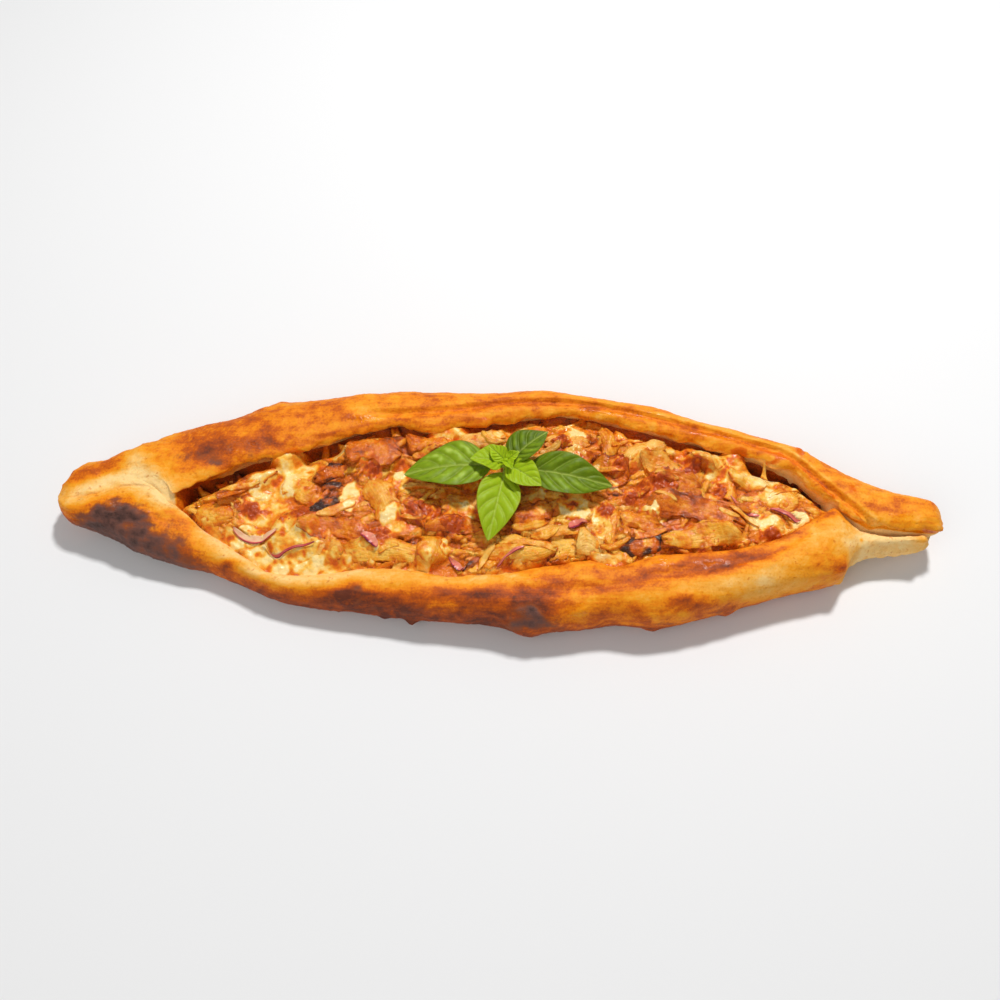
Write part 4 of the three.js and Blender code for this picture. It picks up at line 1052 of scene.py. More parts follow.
# For each look: browning, paleness, fibre depth, knobbly relief and how far one edge curls up.
LOOKS = {
    "golden": (0.18, 0.15, 0.30, 0.06, 0.7), "tan": (0.26, 0.75, 0.30, 0.14, 0.8),
    "pale": (0.12, 0.75, 0.26, 0.08, 0.6), "flesh": (0.20, 0.60, 0.24, 0.08, 1.2),
    "orange": (0.34, 0.10, 0.28, 0.18, 0.8), "sauce": (0.42, 0.10, 0.24, 0.32, 0.8),
    "crisp": (0.46, 0.10, 0.22, 0.40, 1.3), "roast": (0.48, 0.25, 0.28, 0.22, 0.8),
    "burnt": (0.62, 0.05, 0.22, 0.40, 1.2), "string": (0.30, 0.0, 0.04, 0.10, 0.0),
    "glaze": (0.30, 0.0, 0.06, 0.12, 0.1)}
SLICE_STEPS = (76, 48)
SUNK = 0.8  # how far a slice's underside is pushed into the cheese


def node_rows(name, heading, across):
    """A strip node's corners as rows along it: an array of rows x across x (upper, lower) x 3."""
    points = node_points(name)
    forward, sideways = turned(points[:, 0], points[:, 1], heading)
    by_row = np.argsort(forward, kind="stable").reshape(-1, 2 * across)
    rows = []
    for row in by_row:
        ordered = row[np.argsort(sideways[row], kind="stable")].reshape(across, 2)
        rows.append([sorted(points[pair].tolist(), key=lambda p: -p[2]) for pair in ordered])
    return np.array(rows)


def through(rows, share):
    """Rows of corners on the smooth line through rows, at the given shares of its length."""
    last = len(rows) - 1
    where = clamp01(share) * last
    i = np.minimum(where.astype(int), last - 1)
    t = (where - i)[..., None, None, None]
    before, start, end, after = (rows[np.clip(i + k, 0, last)] for k in (-1, 0, 1, 2))
    slope_start, slope_end = (end - before) / 2, (after - start) / 2
    u = 1 - t
    bend = slope_start * t * u * u - slope_end * t * t * u
    return start * u * u * (1 + 2 * t) + end * t * t * (3 - 2 * t) + bend


def bar_shape(along, around, end_round=0.07, thin_edges=0.0):
    """Shares of a flat bar with round ends: along it, across it (-1 to 1), up (-1 to 1) and its fullness."""
    even = np.linspace(0, 1, along + 1)
    s = lerp(even, 0.5 - 0.5 * np.cos(math.pi * even), 0.6)[:, None]
    turn = np.linspace(0, 2 * math.pi, around + 1)[None, :]
    t = np.sign(np.cos(turn)) * np.abs(np.cos(turn)) ** lerp(0.85, 1.0, thin_edges)
    up = np.sign(np.sin(turn)) * np.abs(np.sin(turn)) ** lerp(0.7, 1.1, thin_edges)
    up[:, [0, around // 2, -1]] = 0
    full = np.sqrt(clamp01(1 - (1 - clamp01(np.minimum(s, 1 - s) / end_round)) ** 2))
    s, t, up, full = np.broadcast_arrays(s, t, up, full)
    return s, t.copy(), up.copy(), full


def torn_outline(s, t, full, length, width, tear, edges):
    """The places along and across a slice with its torn sides and ends, as shares of its size."""
    side = np.sign(t) * 40
    ragged = 1 + 0.20 * tear * edges(np.stack([s * length, side, 0 * s], -1), 5.5, 2)
    ragged = ragged + 0.16 * tear * edges(np.stack([s * length, side, 9 + 0 * s], -1), 2.0, 2)
    torn = 0.18 * edges(np.stack([0 * s, t * width / 2, np.sign(s - 0.5) * 30], -1), 3.4, 2)
    return clamp01(s + torn * np.abs(2 * s - 1) ** 5), t * ragged * lerp(0.3, 1, np.sqrt(full))


def strip_faces(rows, s, t):
    """The upper and the lower face of a strip node at s along it and t across it, -1 to 1."""
    spine = through(rows, s)
    left, middle, right = (spine[..., k, :, :] for k in range(3))
    w = t[..., None, None]
    both = middle + w * (right - left) / 2 + w * w * ((right + left) / 2 - middle)
    return both[..., 0, :], both[..., 1, :]


def slice_body(rows, look, seed, steps=SLICE_STEPS):
    """A torn slice through a strip's corners: its points, and its browning and melted cheese."""
    brown, pale, fibre, knobs, curl = LOOKS[look]
    edges, fibres, lumps = (Noise(seed + k) for k in range(3))
    s, t, up, full = bar_shape(*steps, thin_edges=0.8)
    length = np.linalg.norm(rows[-1].mean(axis=(0, 1)) - rows[0].mean(axis=(0, 1)))
    width = np.linalg.norm(rows[:, -1, 0] - rows[:, 0, 0], axis=-1).max()
    tear = lerp(0.5, 1.0, clamp01(2.5 * knobs))
    s_torn, t_wide = torn_outline(s, t, full, length, width, tear, edges)
    flat = plan(s_torn * length, t_wide * width / 2)

    top, bottom = strip_faces(rows, s_torn, t_wide)
    bottom = bottom - (0, 0, SUNK)
    thick = (top - bottom)[..., 2] * (0.35 + 0.65 * full) * (full > 0)
    warped = flat + (0, 1, 0) * lumps(flat + 80, 9)[..., None]
    strands = fibres(warped, (15, 1.2, 4), 2)
    split = np.abs(fibres(warped + 50, (20, 3.4, 4), 2))
    ridges = fibre * (0.5 * strands + 0.4 * fibres(warped + 20, (9, 0.7, 4), 2))
    ridges = ridges - 0.8 * fibre * smooth(0.10, 0.0, split)
    bumps = knobs * (0.8 * lumps(flat, 3.4, 2) + 0.5 * lumps(flat + 9, 1.3, 2))
    height = thick / 2 + (ridges + bumps) * np.sqrt(full)
    points = (top + bottom) / 2
    points[..., 2] += np.where(up > 0, up * height, up * thick / 2)
    lifted = curl * smooth(0.25, 1.15, t * (1 if seed % 2 else -1)) * (0.7 + 0.6 * lumps(flat + 70, 9))
    points[..., 2] += lifted + 0.4 * lumps(flat + 30, 8)

    tips = smooth(0.38, 0.5, np.abs(s - 0.5 + 0.06 * lumps(flat + 21, 5)))
    rim = smooth(0.55, 1.05, np.abs(t) + 0.30 * lumps(flat + 44, 6, 2))
    patch = smooth(0.15, 0.75, lumps(flat + 60, 6, 3))
    tone = brown - 0.02 + 0.08 * tips + 0.20 * rim + 0.20 * patch + 0.20 * lumps(flat + 5, 6, 3)
    # Raised strands and knobs are painted lighter and the splits between strands darker: painted highlight
    # and painted shade, with sauce gathered in the splits.
    tone = tone + spots(points, SAUCE_MARKS) - 0.05 * strands + 0.14 * smooth(0.12, 0.0, split) - 0.12 * bumps
    if look == "burnt":
        tone = tone + 0.6 * smooth(-0.2, 0.4, lumps(flat + 44, 7))
    fade = clamp01(pale - 0.45 * rim - 0.4 * patch + 0.25 * lumps(flat + 15, 7))
    melt, toast = melt_marks(points[..., 0], points[..., 1])
    melt = melt * (0 if look == "glaze" else ON_SLICES) * (0.8 + 0.6 * lumps(flat + 33, 5, 2))
    melt = clamp01(melt) * smooth(-0.2, 0.3, up)
    # Sides and undersides get more toast: partly browned edges and partly a painted warm shade.
    toast = clamp01(toast + 0.4 * smooth(0.9, 0.2, up) + 0.25 * rim * smooth(-0.2, 0.4, lumps(flat + 12, 5)))
    grain = flat + (0, 0, 10 * (seed % 97))
    return points, {"brown": clamp01(tone), "pale": fade, "melt": melt, "toast": toast, "grain": grain}


def chicken_colour(paint, settings, grain):
    """Roast chicken's colour: fibrous, from pale flesh through gold and red brown to burnt edges."""
    mottle = paint.noise(0.0022, 4, 0.6)
    fine = paint.noise(0.0006, 3, 0.6)
    brown = paint.varied(paint.number("brown"), (mottle, 0.40), (fine, 0.12), (grain, 0.28))
    sauce = paint.ramp(brown, [
        (0.0, settings.light_gold), (0.2, settings.gold), (0.38, settings.orange), (0.55, settings.red_brown),
        (0.72, settings.brown), (0.88, settings.dark), (1.0, settings.burnt)])
    flesh = paint.ramp(brown, [
        (0.0, settings.flesh), (0.3, settings.tan), (0.52, settings.orange), (0.70, settings.brown),
        (0.9, settings.dark)])
    return paint.blend(paint.number("pale"), sauce, flesh)


def fibres_of(paint):
    """Noise drawn out along each piece's own fibres."""
    return paint.noise(0.8, 4, 0.6, stretch=(9, 1, 3), place=paint.vector("grain"))


def wet_roughness(paint):
    """Roughness with small wet places of oil."""
    return paint.span(paint.step(paint.noise(0.0026, 3, 0.6), 0.36, 0.56), 0.44, 0.11)


def filling_material(name, chicken, cheese):
    """Roast chicken in sauce with melted cheese over it, in cream pools with toasted blisters."""
    paint = Finish(name)
    mottle = paint.noise(0.0035, 4, 0.6)
    bubbles = paint.noise(0.0015, 3, 0.6)
    grain = fibres_of(paint)
    domes = paint.cells(0.0022)
    toast = paint.varied(paint.number("toast"), (mottle, 0.34), (bubbles, 0.36), (domes, 0.12))
    melted = paint.ramp(toast, [
        (0.0, cheese.cheese), (0.08, cheese.cheese), (0.26, cheese.buttery), (0.44, cheese.gold),
        (0.66, cheese.toast), (1.0, cheese.dark_toast)])
    melt = paint.varied(paint.number("melt"), (mottle, 0.5), (bubbles, 0.2), (grain, 0.15))
    share = paint.step(melt, 0.14, 0.80)
    colour = paint.blend(share, chicken_colour(paint, chicken, grain), melted)
    fibre_depth = paint.math("MULTIPLY", grain, paint.span(share, 1.0, 0.15))
    relief = paint.bump((fibre_depth, 0.0006), (paint.noise(0.0012, 3), 0.0003), (mottle, 0.0004),
                        (domes, -0.0003))
    return paint.shade(Base_Color=colour, Roughness=wet_roughness(paint), Normal=relief,
                       Subsurface_Weight=0.1, Subsurface_Radius=(0.005, 0.0025, 0.001),
                       Subsurface_Scale=0.5, Specular_IOR_Level=0.5)


class PideChickenSettings(bpy.types.PropertyGroup):
    """Colours and number of the chicken pieces."""

    seed: IntProperty(name="Seed", description="Changes the tears and the flakes", default=5)
    flakes: IntProperty(name="Flakes", description="Flakes in the cheese's surface", default=700, min=0)
    shreds: IntProperty(name="Shreds", description="Loose shreds on the cheese", default=34, min=0)
    light_gold: colour_setting("Light gold", "The lightest sauce", 250, 194, 80)
    gold: colour_setting("Gold", "Golden chicken", 246, 170, 44)
    orange: colour_setting("Orange", "Chicken in sauce", 233, 132, 20)
    red_brown: colour_setting("Red brown", "Browned sauce", 215, 103, 14)
    brown: colour_setting("Brown", "Browned edges", 180, 80, 16)
    dark: colour_setting("Dark brown", "Dark edges", 118, 60, 30)
    burnt: colour_setting("Burnt", "Burnt spots", 60, 36, 28)
    flesh: colour_setting("Flesh", "The palest meat", 248, 196, 104)
    tan: colour_setting("Tan", "Roast meat without sauce", 236, 156, 58)


class PIDE_OT_chicken(bpy.types.Operator):
    """Make the large slices of roast chicken"""

    bl_idname = "pide.chicken"
    bl_label = "Chicken slices"

    def execute(self, context):
        settings = context.scene.pide_chicken
        material = filling_material("roast_chicken", settings, context.scene.pide_cheese)
        for k, (heading, look) in enumerate(SLICES):
            node = f"chicken_{k + 1:02d}"
            rows = node_rows(node, heading, across=3)
            points, marks = slice_body(rows, look, seed=100 * settings.seed + 3 * k)
            bm = bmesh.new()
            add_grid(bm, points, **marks)
            finish_body(f"slice_{k + 1:02d}", bm, material, [node])
            filling.add_piece(points)
        return {"FINISHED"}


# Kinds of flakes: how often each comes, its browning and its paleness.
FLAKE_KINDS = [
    (0.22, 0.22, 0.2), (0.26, 0.34, 0.1), (0.24, 0.46, 0.05), (0.14, 0.58, 0.0), (0.14, 0.26, 0.7)]
RECESS = 6.0  # how far the filling lies lower under the far lip, near the ends of the opening
RECESS_RUN = 7.0
FLAKE_TURN = 32.0  # degrees from the boat's length, for most flakes
UNDER_SLICE = 0.9  # how far the ground stays below a slice's top
FILL_UP = 1.5  # how far below the tops of the slices the ground between them lies


def recess_at(x):
    """How deep the hollow under the far lip is, from 0 to 1."""
    return 0.12 + 0.88 * (smooth(-62, -80, x) + smooth(98, 112, x))


def lay_flakes(settings):
    """Fills the gaps between the slices and covers the bed with flakes of chicken."""
    draw = np.random.default_rng(settings.seed + 40)
    noise = Noise(settings.seed + 41)
    filling.base = np.maximum(filling.base, filling.blurred(filling.top(), 2.2) - FILL_UP)
    filling.z = filling.base.copy()
    chances = np.array([kind[0] for kind in FLAKE_KINDS])
    for key in range(settings.flakes):
        x = draw.uniform(-141, 146)
        y = draw.uniform(NEAR_LIP(x), FAR_LIP(x) - 3 * recess_at(x))
        if draw.random() < 0.85 * melt_at(np.array([x]), np.array([y]))[0]:
            continue
        size = (draw.uniform(9, 24), draw.uniform(2.2, 5.0), draw.uniform(0.5, 1.2))
        kind = FLAKE_KINDS[draw.choice(len(chances), p=chances / chances.sum())]
        filling.lay_flake(noise, key, x, y, draw.normal(0, FLAKE_TURN), size, draw.normal(0, 1.0),
                          draw.uniform(-0.16, 0.16), kind[1] + draw.normal(0, 0.06), kind[2])
    covered = filling.pieces > -filling.FAR_OFF
    filling.z = np.where(covered, np.minimum(filling.z, filling.pieces - UNDER_SLICE), filling.z)
    under_lip = smooth(RECESS_RUN, 0, FAR_LIP(filling.x) - filling.y)
    filling.z = filling.z - RECESS * recess_at(filling.x) * under_lip


def slab_rows(x, y, z, thick):
    """Rows of corners like those of a strip node, for a slab whose middle lies at x, y, z."""
    middle = np.stack([x, y, z], axis=-1)
    lift = np.array([0, 0, 0.5 * thick])
    return np.stack([middle + lift, middle - lift], axis=2)


def loose_rows(draw, x, y, heading, length, width, thick):
    """Rows of corners for a shred that rests on the filling."""
    turn = math.radians(heading)
    s = np.linspace(-1, 1, 7)[:, None]
    t = np.linspace(-1, 1, 3)[None, :]
    bow = draw.normal(0, 0.08) * length
    wide = width / 2 * np.sqrt(1 - 0.75 * s**4) * (1 + 0.1 * draw.normal(size=(7, 1)))
    along = s * length / 2 + 0 * t
    aside = t * wide + bow * (1 - s * s)
    px = x + along * math.cos(turn) - aside * math.sin(turn)
    py = y + along * math.sin(turn) + aside * math.cos(turn)
    py = np.clip(py, NEAR_LIP(px) + 0.8, FAR_LIP(px) + 0.5)
    rest = filling.read(filling.soft_top, px, py)
    rest = lerp(rest.mean(axis=1, keepdims=True), rest, 0.5) + 0.10 * width * draw.uniform(-1, 1) * t
    return slab_rows(px, py, rest + 0.5 * thick, thick)


# ---------------------------------------------------------------- the cheese

CHEESE_STEPS = (560, 150)
# Where the cheese climbs to the far lip: x, half width, how far in front of the lip it starts, toasting.
DRAPES = [(-97, 8.5, 9, 0.18), (-24, 9.5, 8, 0.12), (108, 6.5, 12, 0.28)]
DRAPE_DROP = 3.2  # how far below the rim's top a drape meets the lip
CHEESE_LEFT, CHEESE_RIGHT = -141.0, 146.0
TUCK = 1.2  # how far the cheese runs into the dough's wall, past the dough's own relief
FLOOR_GAP = 0.9  # between the cheese's underside and the dough's floor
NEAR_WALL, FAR_WALL = (7.8, 12), (18.2, 14)  # places round the section, down each inner wall
BUBBLE_RADIUS = (0.7, 1.7)


def wall_line(x, where, heights):
    """The y of the dough's inner wall at the given heights; where are places round its section."""
    rings = crust_rings(x, where)
    line = [np.interp(-height, -ring[:, 2], ring[:, 1]) for ring, height in zip(rings, heights)]
    return np.array(line)


def drape(points, melt, toast, noise):
    """Pulls the cheese up to the far lip in places; gives back its melt, its toast and how far it climbs."""
    px, py, pz = np.moveaxis(points, -1, 0)
    flat = plan(px, py)
    draped = np.zeros(px.shape)
    for middle, half_width, reach, browned in DRAPES:
        climb = smooth(-reach, -0.5, py - FAR_LIP(px) + 0.25 * reach * noise(flat + 10, 7, 2))
        climb = climb * np.exp(-(((px - middle) / half_width) ** 4))
        pz = lerp(pz, FAR_TOP(px) - DRAPE_DROP + 0.4 * noise(flat + 20, 3, 2), climb)
        melt = np.maximum(melt, smooth(0.05, 0.4, climb))
        draped = np.maximum(draped, climb)
        toast = lerp(toast, browned + 0.3 * noise(flat + 70, 5, 2), climb)
    points[..., 2] = pz
    return melt, toast, draped


def raise_bubbles(points, draw):
    """Raises small bubbles in the toasted blisters of the cheese."""
    for tx, ty, rx, ry in TOASTS:
        for _ in range(int(1.1 * rx * ry) + 4):
            turn, out = draw.uniform(0, 2 * math.pi), math.sqrt(draw.random())
            bx, by = tx + out * rx * math.cos(turn), ty + out * ry * math.sin(turn)
            radius = draw.uniform(*BUBBLE_RADIUS)
            away = np.hypot(points[..., 0] - bx, points[..., 1] - by) / radius
            points[..., 2] += 0.5 * radius * dome(away, 0.8)


def cheese_surface(seed):
    """The cheese's upper surface with its melt, toast and browning, and painted shade in hollows and dips."""
    noise, grain = Noise(seed), Noise(seed + 1)
    x = np.linspace(CHEESE_LEFT, CHEESE_RIGHT, CHEESE_STEPS[0] + 1)
    near = wall_line(x, np.linspace(*NEAR_WALL, 50), bed_top(x, NEAR_LIP(x)))[:, None] - TUCK
    far = wall_line(x, np.linspace(*FAR_WALL, 50), bed_top(x, FAR_LIP(x)))[:, None] + TUCK
    across = np.linspace(0, 1, CHEESE_STEPS[1] + 1)[None, :]
    px, py = np.broadcast_arrays(x[:, None], lerp(near, far, across))
    flat = plan(px, py)
    melt, toast = melt_marks(px, py)
    ground = filling.read(filling.z, px, py) + 0.24 * grain(flat, 1.7, 3)
    soft = filling.read(filling.blurred(filling.top(), 1.5), px, py)
    pool = soft + 0.35 + 0.5 * noise(flat + 33, 6, 2) + 0.24 * grain(flat + 60, 2.2, 3)
    pz = np.minimum(lerp(ground, pool, melt), filling.read(filling.ceiling, px, py))
    points = np.stack([px, py, pz], axis=-1)
    melt, toast, draped = drape(points, melt, toast, noise)
    edge = np.minimum(py - near, far - py)
    rim = bed_top(px, py) + 0.7 * np.exp(-edge / 1.2)
    points[..., 2] = lerp(rim, points[..., 2], smooth(0.8, 3.5, edge))
    raise_bubbles(points, np.random.default_rng(seed))

    i, j = filling.cells(px, py)
    # Painted shade: the cheese is browner in its hollows, where sauce also gathers, darker towards the far
    # wall, and more toasted in the dips between pieces.
    hollow = filling.read(filling.blurred(filling.z, 1.8) - filling.z, px, py)
    shaded = 0.3 * smooth(RECESS_RUN, 1, far - py)
    dip_shade = filling.blurred(filling.top(), 1.6) - filling.top()
    toast = clamp01(toast + 0.3 * clamp01(filling.read(filling.blurred(dip_shade, 0.6), px, py)))
    brown = filling.brown[i, j] + 0.16 * clamp01(hollow) + 0.12 * noise(flat + 90, 9, 2) + shaded
    brown = brown + spots(points, SAUCE_MARKS)
    behind = smooth(1.0, 4.0, far - TUCK - py)
    melt = melt * np.maximum(behind, smooth(4, 1, py - FAR_LIP(px)) * draped)
    return points, {"melt": melt, "toast": toast, "brown": clamp01(brown),
                    "pale": clamp01(filling.pale[i, j]), "grain": filling.grain[i, j]}


class PideCheeseSettings(bpy.types.PropertyGroup):
    """Colours of the melted cheese."""

    seed: IntProperty(name="Seed", description="Changes the cheese's lumps", default=21)
    cheese: colour_setting("Cheese", "Melted cheese", 255, 223, 150)
    buttery: colour_setting("Buttery", "Cheese tinted by fat", 252, 196, 84)
    gold: colour_setting("Gold", "Cheese that starts to colour", 240, 150, 34)
    toast: colour_setting("Toast", "Toasted blisters", 226, 104, 16)
    dark_toast: colour_setting("Dark toast", "The darkest blisters", 176, 68, 18)


class PIDE_OT_cheese(bpy.types.Operator):
    """Make the bed of melted cheese with the flakes of chicken in it"""

    bl_idname = "pide.cheese"
    bl_label = "Melted cheese"

    def execute(self, context):
        settings = context.scene.pide_cheese
        chicken = context.scene.pide_chicken
        material = filling_material("melted_cheese", chicken, settings)
        lay_flakes(chicken)
        points, marks = cheese_surface(settings.seed)
        filling.add_piece(points)
        bm = bmesh.new()
        add_grid(bm, points, **marks)
        rim = [edge for edge in bm.edges if edge.is_boundary]
        grown = bmesh.ops.extrude_edge_only(bm, edges=rim)["geom"]
        for vert in grown:
            if isinstance(vert, bmesh.types.BMVert):
                vert.co.z = MM * (FLOOR + FLOOR_GAP)
        floor_edges = [e for e in grown if isinstance(e, bmesh.types.BMEdge) and e.is_boundary]
        bmesh.ops.contextual_create(bm, geom=floor_edges)
        finish_body("melted_cheese", bm, material, ["cheese_bed"])
        return {"FINISHED"}


LOOSE_LOOKS = ["golden", "tan", "pale", "orange", "sauce", "flesh", "golden", "crisp"]
LOOSE_STEPS = (38, 26)
LOOSE_SEED, BRIDGE_SEED = 7000, 9000


class PIDE_OT_shreds(bpy.types.Operator):
    """Scatter loose shreds of chicken over the filling"""

    bl_idname = "pide.shreds"
    bl_label = "Loose shreds"

    def execute(self, context):
        settings = context.scene.pide_chicken
        draw = np.random.default_rng(settings.seed + 60)
        filling.soft_top = filling.blurred(filling.top(), 1.2)
        bm = bmesh.new()
        made = 0
        while made < settings.shreds:
            x = draw.uniform(-118, 138)
            y = draw.uniform(NEAR_LIP(x) + 4, FAR_LIP(x) - 3)
            if draw.random() < 1.15 * melt_at(np.array([x]), np.array([y]))[0]:
                continue
            size = (draw.uniform(9, 20), draw.uniform(2.0, 4.2), draw.uniform(0.8, 1.3))
            rows = loose_rows(draw, x, y, draw.normal(0, 30), *size)
            look = LOOSE_LOOKS[draw.integers(len(LOOSE_LOOKS))]
            points, marks = slice_body(rows, look, seed=LOOSE_SEED + 3 * made, steps=LOOSE_STEPS)
            add_grid(bm, points, **marks)
            made += 1
        finish_body("loose_shreds", bm, bpy.data.materials["roast_chicken"])
        return {"FINISHED"}


# Cheese that hangs from the far lip onto the filling: x, width, reach, thickness and toasting.
BRIDGES = [(121, 2.6, 5, 1.0, 0.3)]
BRIDGE_DROP = 3.4  # how far below the rim's top it leaves the lip


def bridge_rows(x, width, reach, thick):
    """Rows of corners for a string of cheese from the far lip down to the filling."""
    s = np.linspace(0, 1, 7)[:, None]
    t = np.linspace(-1, 1, 3)[None, :]
    px = x + t * width / 2 * (1 - 0.55 * np.sin(math.pi * s) + 0.3 * s) + 0.1 * reach * s
    py = FAR_LIP(px) + lerp(2.0, -reach, s)
    low = filling.read(filling.soft_top, px, FAR_LIP(px) - reach)
    pz = lerp(FAR_TOP(px) - BRIDGE_DROP, low, smooth(0, 1, s) ** 0.8)
    return slab_rows(px, py, pz, thick)


class PIDE_OT_bridges(bpy.types.Operator):
    """Make the cheese that hangs from the far lip"""

    bl_idname = "pide.bridges"
    bl_label = "Hanging cheese"

    def execute(self, context):
        bm = bmesh.new()
        for k, (x, width, reach, thick, toast) in enumerate(BRIDGES):
            rows = bridge_rows(x, width, reach, thick)
            points, marks = slice_body(rows, "string", seed=BRIDGE_SEED + 3 * k, steps=LOOSE_STEPS)
            marks["melt"] = np.ones(points.shape[:2])
            marks["toast"] = clamp01(toast + 0.5 * (marks["brown"] - 0.4))
            add_grid(bm, points, **marks)
        finish_body("hanging_cheese", bm, bpy.data.materials["melted_cheese"])
        return {"FINISHED"}


# ---------------------------------------------------------------- the onion

# Each arc of onion: its heading in degrees, how much of its strip it fills and how red it is all over.
ONIONS = [
    (-6, 1.0, 0.06), (24, 0.45, 0.6), (-38, 0.9, 0.3), (-48, 0.8, 0.35), (-14, 0.6, 0.4), (24, 1.0, 0.4),
    (-34, 0.7, 0.4), (-28, 0.5, 0.45)]
ONION_STEPS = (44, 20)


def onion_material(settings):
    """Red onion: a translucent pale arc with a purple skin edge."""
    paint = Finish("red_onion")
    fine = paint.noise(0.0016, 3, 0.6, stretch=(2.5, 1, 1))
    skin = paint.varied(paint.number("skin"), (fine, 0.35))
    colour = paint.ramp(skin, [
        (0.0, settings.inner), (0.35, settings.pink), (0.7, settings.red), (1.0, settings.purple)])
    return paint.shade(Base_Color=colour, Roughness=0.24, Normal=paint.bump((fine, 0.0002)),
                       Subsurface_Weight=0.3, Subsurface_Radius=(0.004, 0.0015, 0.0015),
                       Subsurface_Scale=0.5, Specular_IOR_Level=0.3, Coat_Weight=0.15, Coat_Roughness=0.1)


class PideGarnishSettings(bpy.types.PropertyGroup):
    """Colours of the onion and the basil."""

    inner: colour_setting("Onion flesh", "The onion's pale inside", 246, 202, 158)
    pink: colour_setting("Onion pink", "Between flesh and skin", 228, 132, 110)
    red: colour_setting("Onion red", "Near the skin", 188, 62, 72)
    purple: colour_setting("Onion purple", "The skin", 112, 26, 54)
    # Light leaf is a painted highlight on the crests between the veins; Dark leaf is the painted shade in the
    # grooves and on a shaded half, and also the leaf's dark specks.
    leaf: colour_setting("Leaf", "A grown leaf", 126, 152, 26)
    leaf_highlight: colour_setting("Light leaf", "The crests between a leaf's veins", 186, 208, 100)
    leaf_shade_and_specks: colour_setting("Dark leaf", "A leaf's darker half", 86, 108, 4)
    young: colour_setting("Young leaf", "The bright heart of the sprig", 158, 184, 20)
    vein: colour_setting("Vein", "The veins of a leaf", 184, 200, 92)


def onion_arc(rows, fill, redness, noise):
    """An arc of onion through a strip's corners: its points, and how red its skin is there."""
    s, t, up, full = bar_shape(*ONION_STEPS, end_round=0.12)
    width = fill * lerp(0.35, 1, np.sqrt(full)) * (1 + 0.12 * noise(np.stack([12 * s, 0 * s, t], -1), 3, 2))
    spine = through(rows, s)
    share = (0.5 + 0.5 * t * width)[..., None, None]
    both = lerp(spine[..., 0, :, :], spine[..., 1, :, :], share)
    top, bottom = both[..., 0, :], both[..., 1, :]
    thick = (top - bottom)[..., 2] * (0.4 + 0.6 * full) * (full > 0)
    points = (top + bottom) / 2
    points[..., 2] += up * thick / 2 + 0.35 * noise(plan(14 * s, 2 * t), 4, 2)
    points[..., 2] += 0.5 * t * t
    skin = redness + 0.74 * smooth(0.3, 0.9, -t) + 0.25 * smooth(0.42, 0.5, np.abs(s - 0.5))
    return points, clamp01(skin)


class PIDE_OT_onion(bpy.types.Operator):
    """Make the arcs of red onion"""

    bl_idname = "pide.onion"
    bl_label = "Red onion"

    def execute(self, context):
        material = onion_material(context.scene.pide_garnish)
        for k, (heading, fill, redness) in enumerate(ONIONS):
            node = f"onion_{k + 1:02d}"
            rows = node_rows(node, heading, across=2)
            points, skin = onion_arc(rows, fill, redness, Noise(300 + k))
            bm = bmesh.new()
            add_grid(bm, points, skin=skin)
            finish_body(f"onion_arc_{k + 1:02d}", bm, material, [node])
            filling.add_piece(points)
            filling.keep_clear(points)
        return {"FINISHED"}


# ---------------------------------------------------------------- the basil

STEM_AT = (3.0, 10.0)
STEM_FROM, STEM_TO = 26.5, 34.5
STEM_RADIUS = 1.1
STEM_STEPS = (8, 16)
BUD_MIDDLE = 35.2
BUD_SIZE = (2.6, 2.4, 3.4)
BUD_STEPS = (28, 18)
# Each leaf: the height at which it leaves the stem, the share that is stalk, its tip, width, roll in
# degrees, how far its edges turn up, how young it is and how much painted shade darkens its two halves.
LEAVES = [
    (30.5, 0.14, (-42, 6.6, 27), 25, 8, 1.4, 0.15, (-0.3, -0.1)),
    (30, 0.2, (50.3, 3.2, 27.5), 20, 8, 1.6, 0.1, (0.4, 1.2)),
    (31, 0.1, (21.4, 25.6, 36), 17, -14, 2, 0.0, (0.4, 0.9)),
    (30.5, 0.1, (-4, -25.4, 27), 19, -6, 2, 0.75, (0.0, 0.0)),
    (33.5, 0.05, (-12.8, 10.6, 36), 13.5, 6, 1.6, 0.85, (0.0, 0.2)),
    (33, 0.05, (18.6, -1.8, 34.5), 14, 8, 1.6, 0.9, (0.2, 0.0)),
    (35, 0.05, (-4.4, 16, 37.4), 8, -10, 1.2, 1.0, (0.0, 0.0)),
    (35.4, 0.05, (8.6, 13.4, 38), 5, 10, 1.0, 1.0, (0.0, 0.0)),
    (35.4, 0.05, (5.6, 4.2, 38.2), 5.5, 0, 1.0, 1.0, (0.0, 0.0))]
LEAF_STEPS = (84, 52)
LEAF_THICKNESS = 0.4
LEAF_ARCH = 0.09  # as a share of the leaf's length
LEAF_PUFF = 0.080  # how far the leaf rises between its veins, as a share of its width
MIDRIB_DEPTH, VEIN_DEPTH = 0.4, 0.34
VEINS = 5.2  # pairs of side veins on a leaf
VEIN_SLANT = 0.30  # how far a side vein runs forward to the leaf's edge, as a share of the blade
STALK_HALF_WIDTH = 0.7


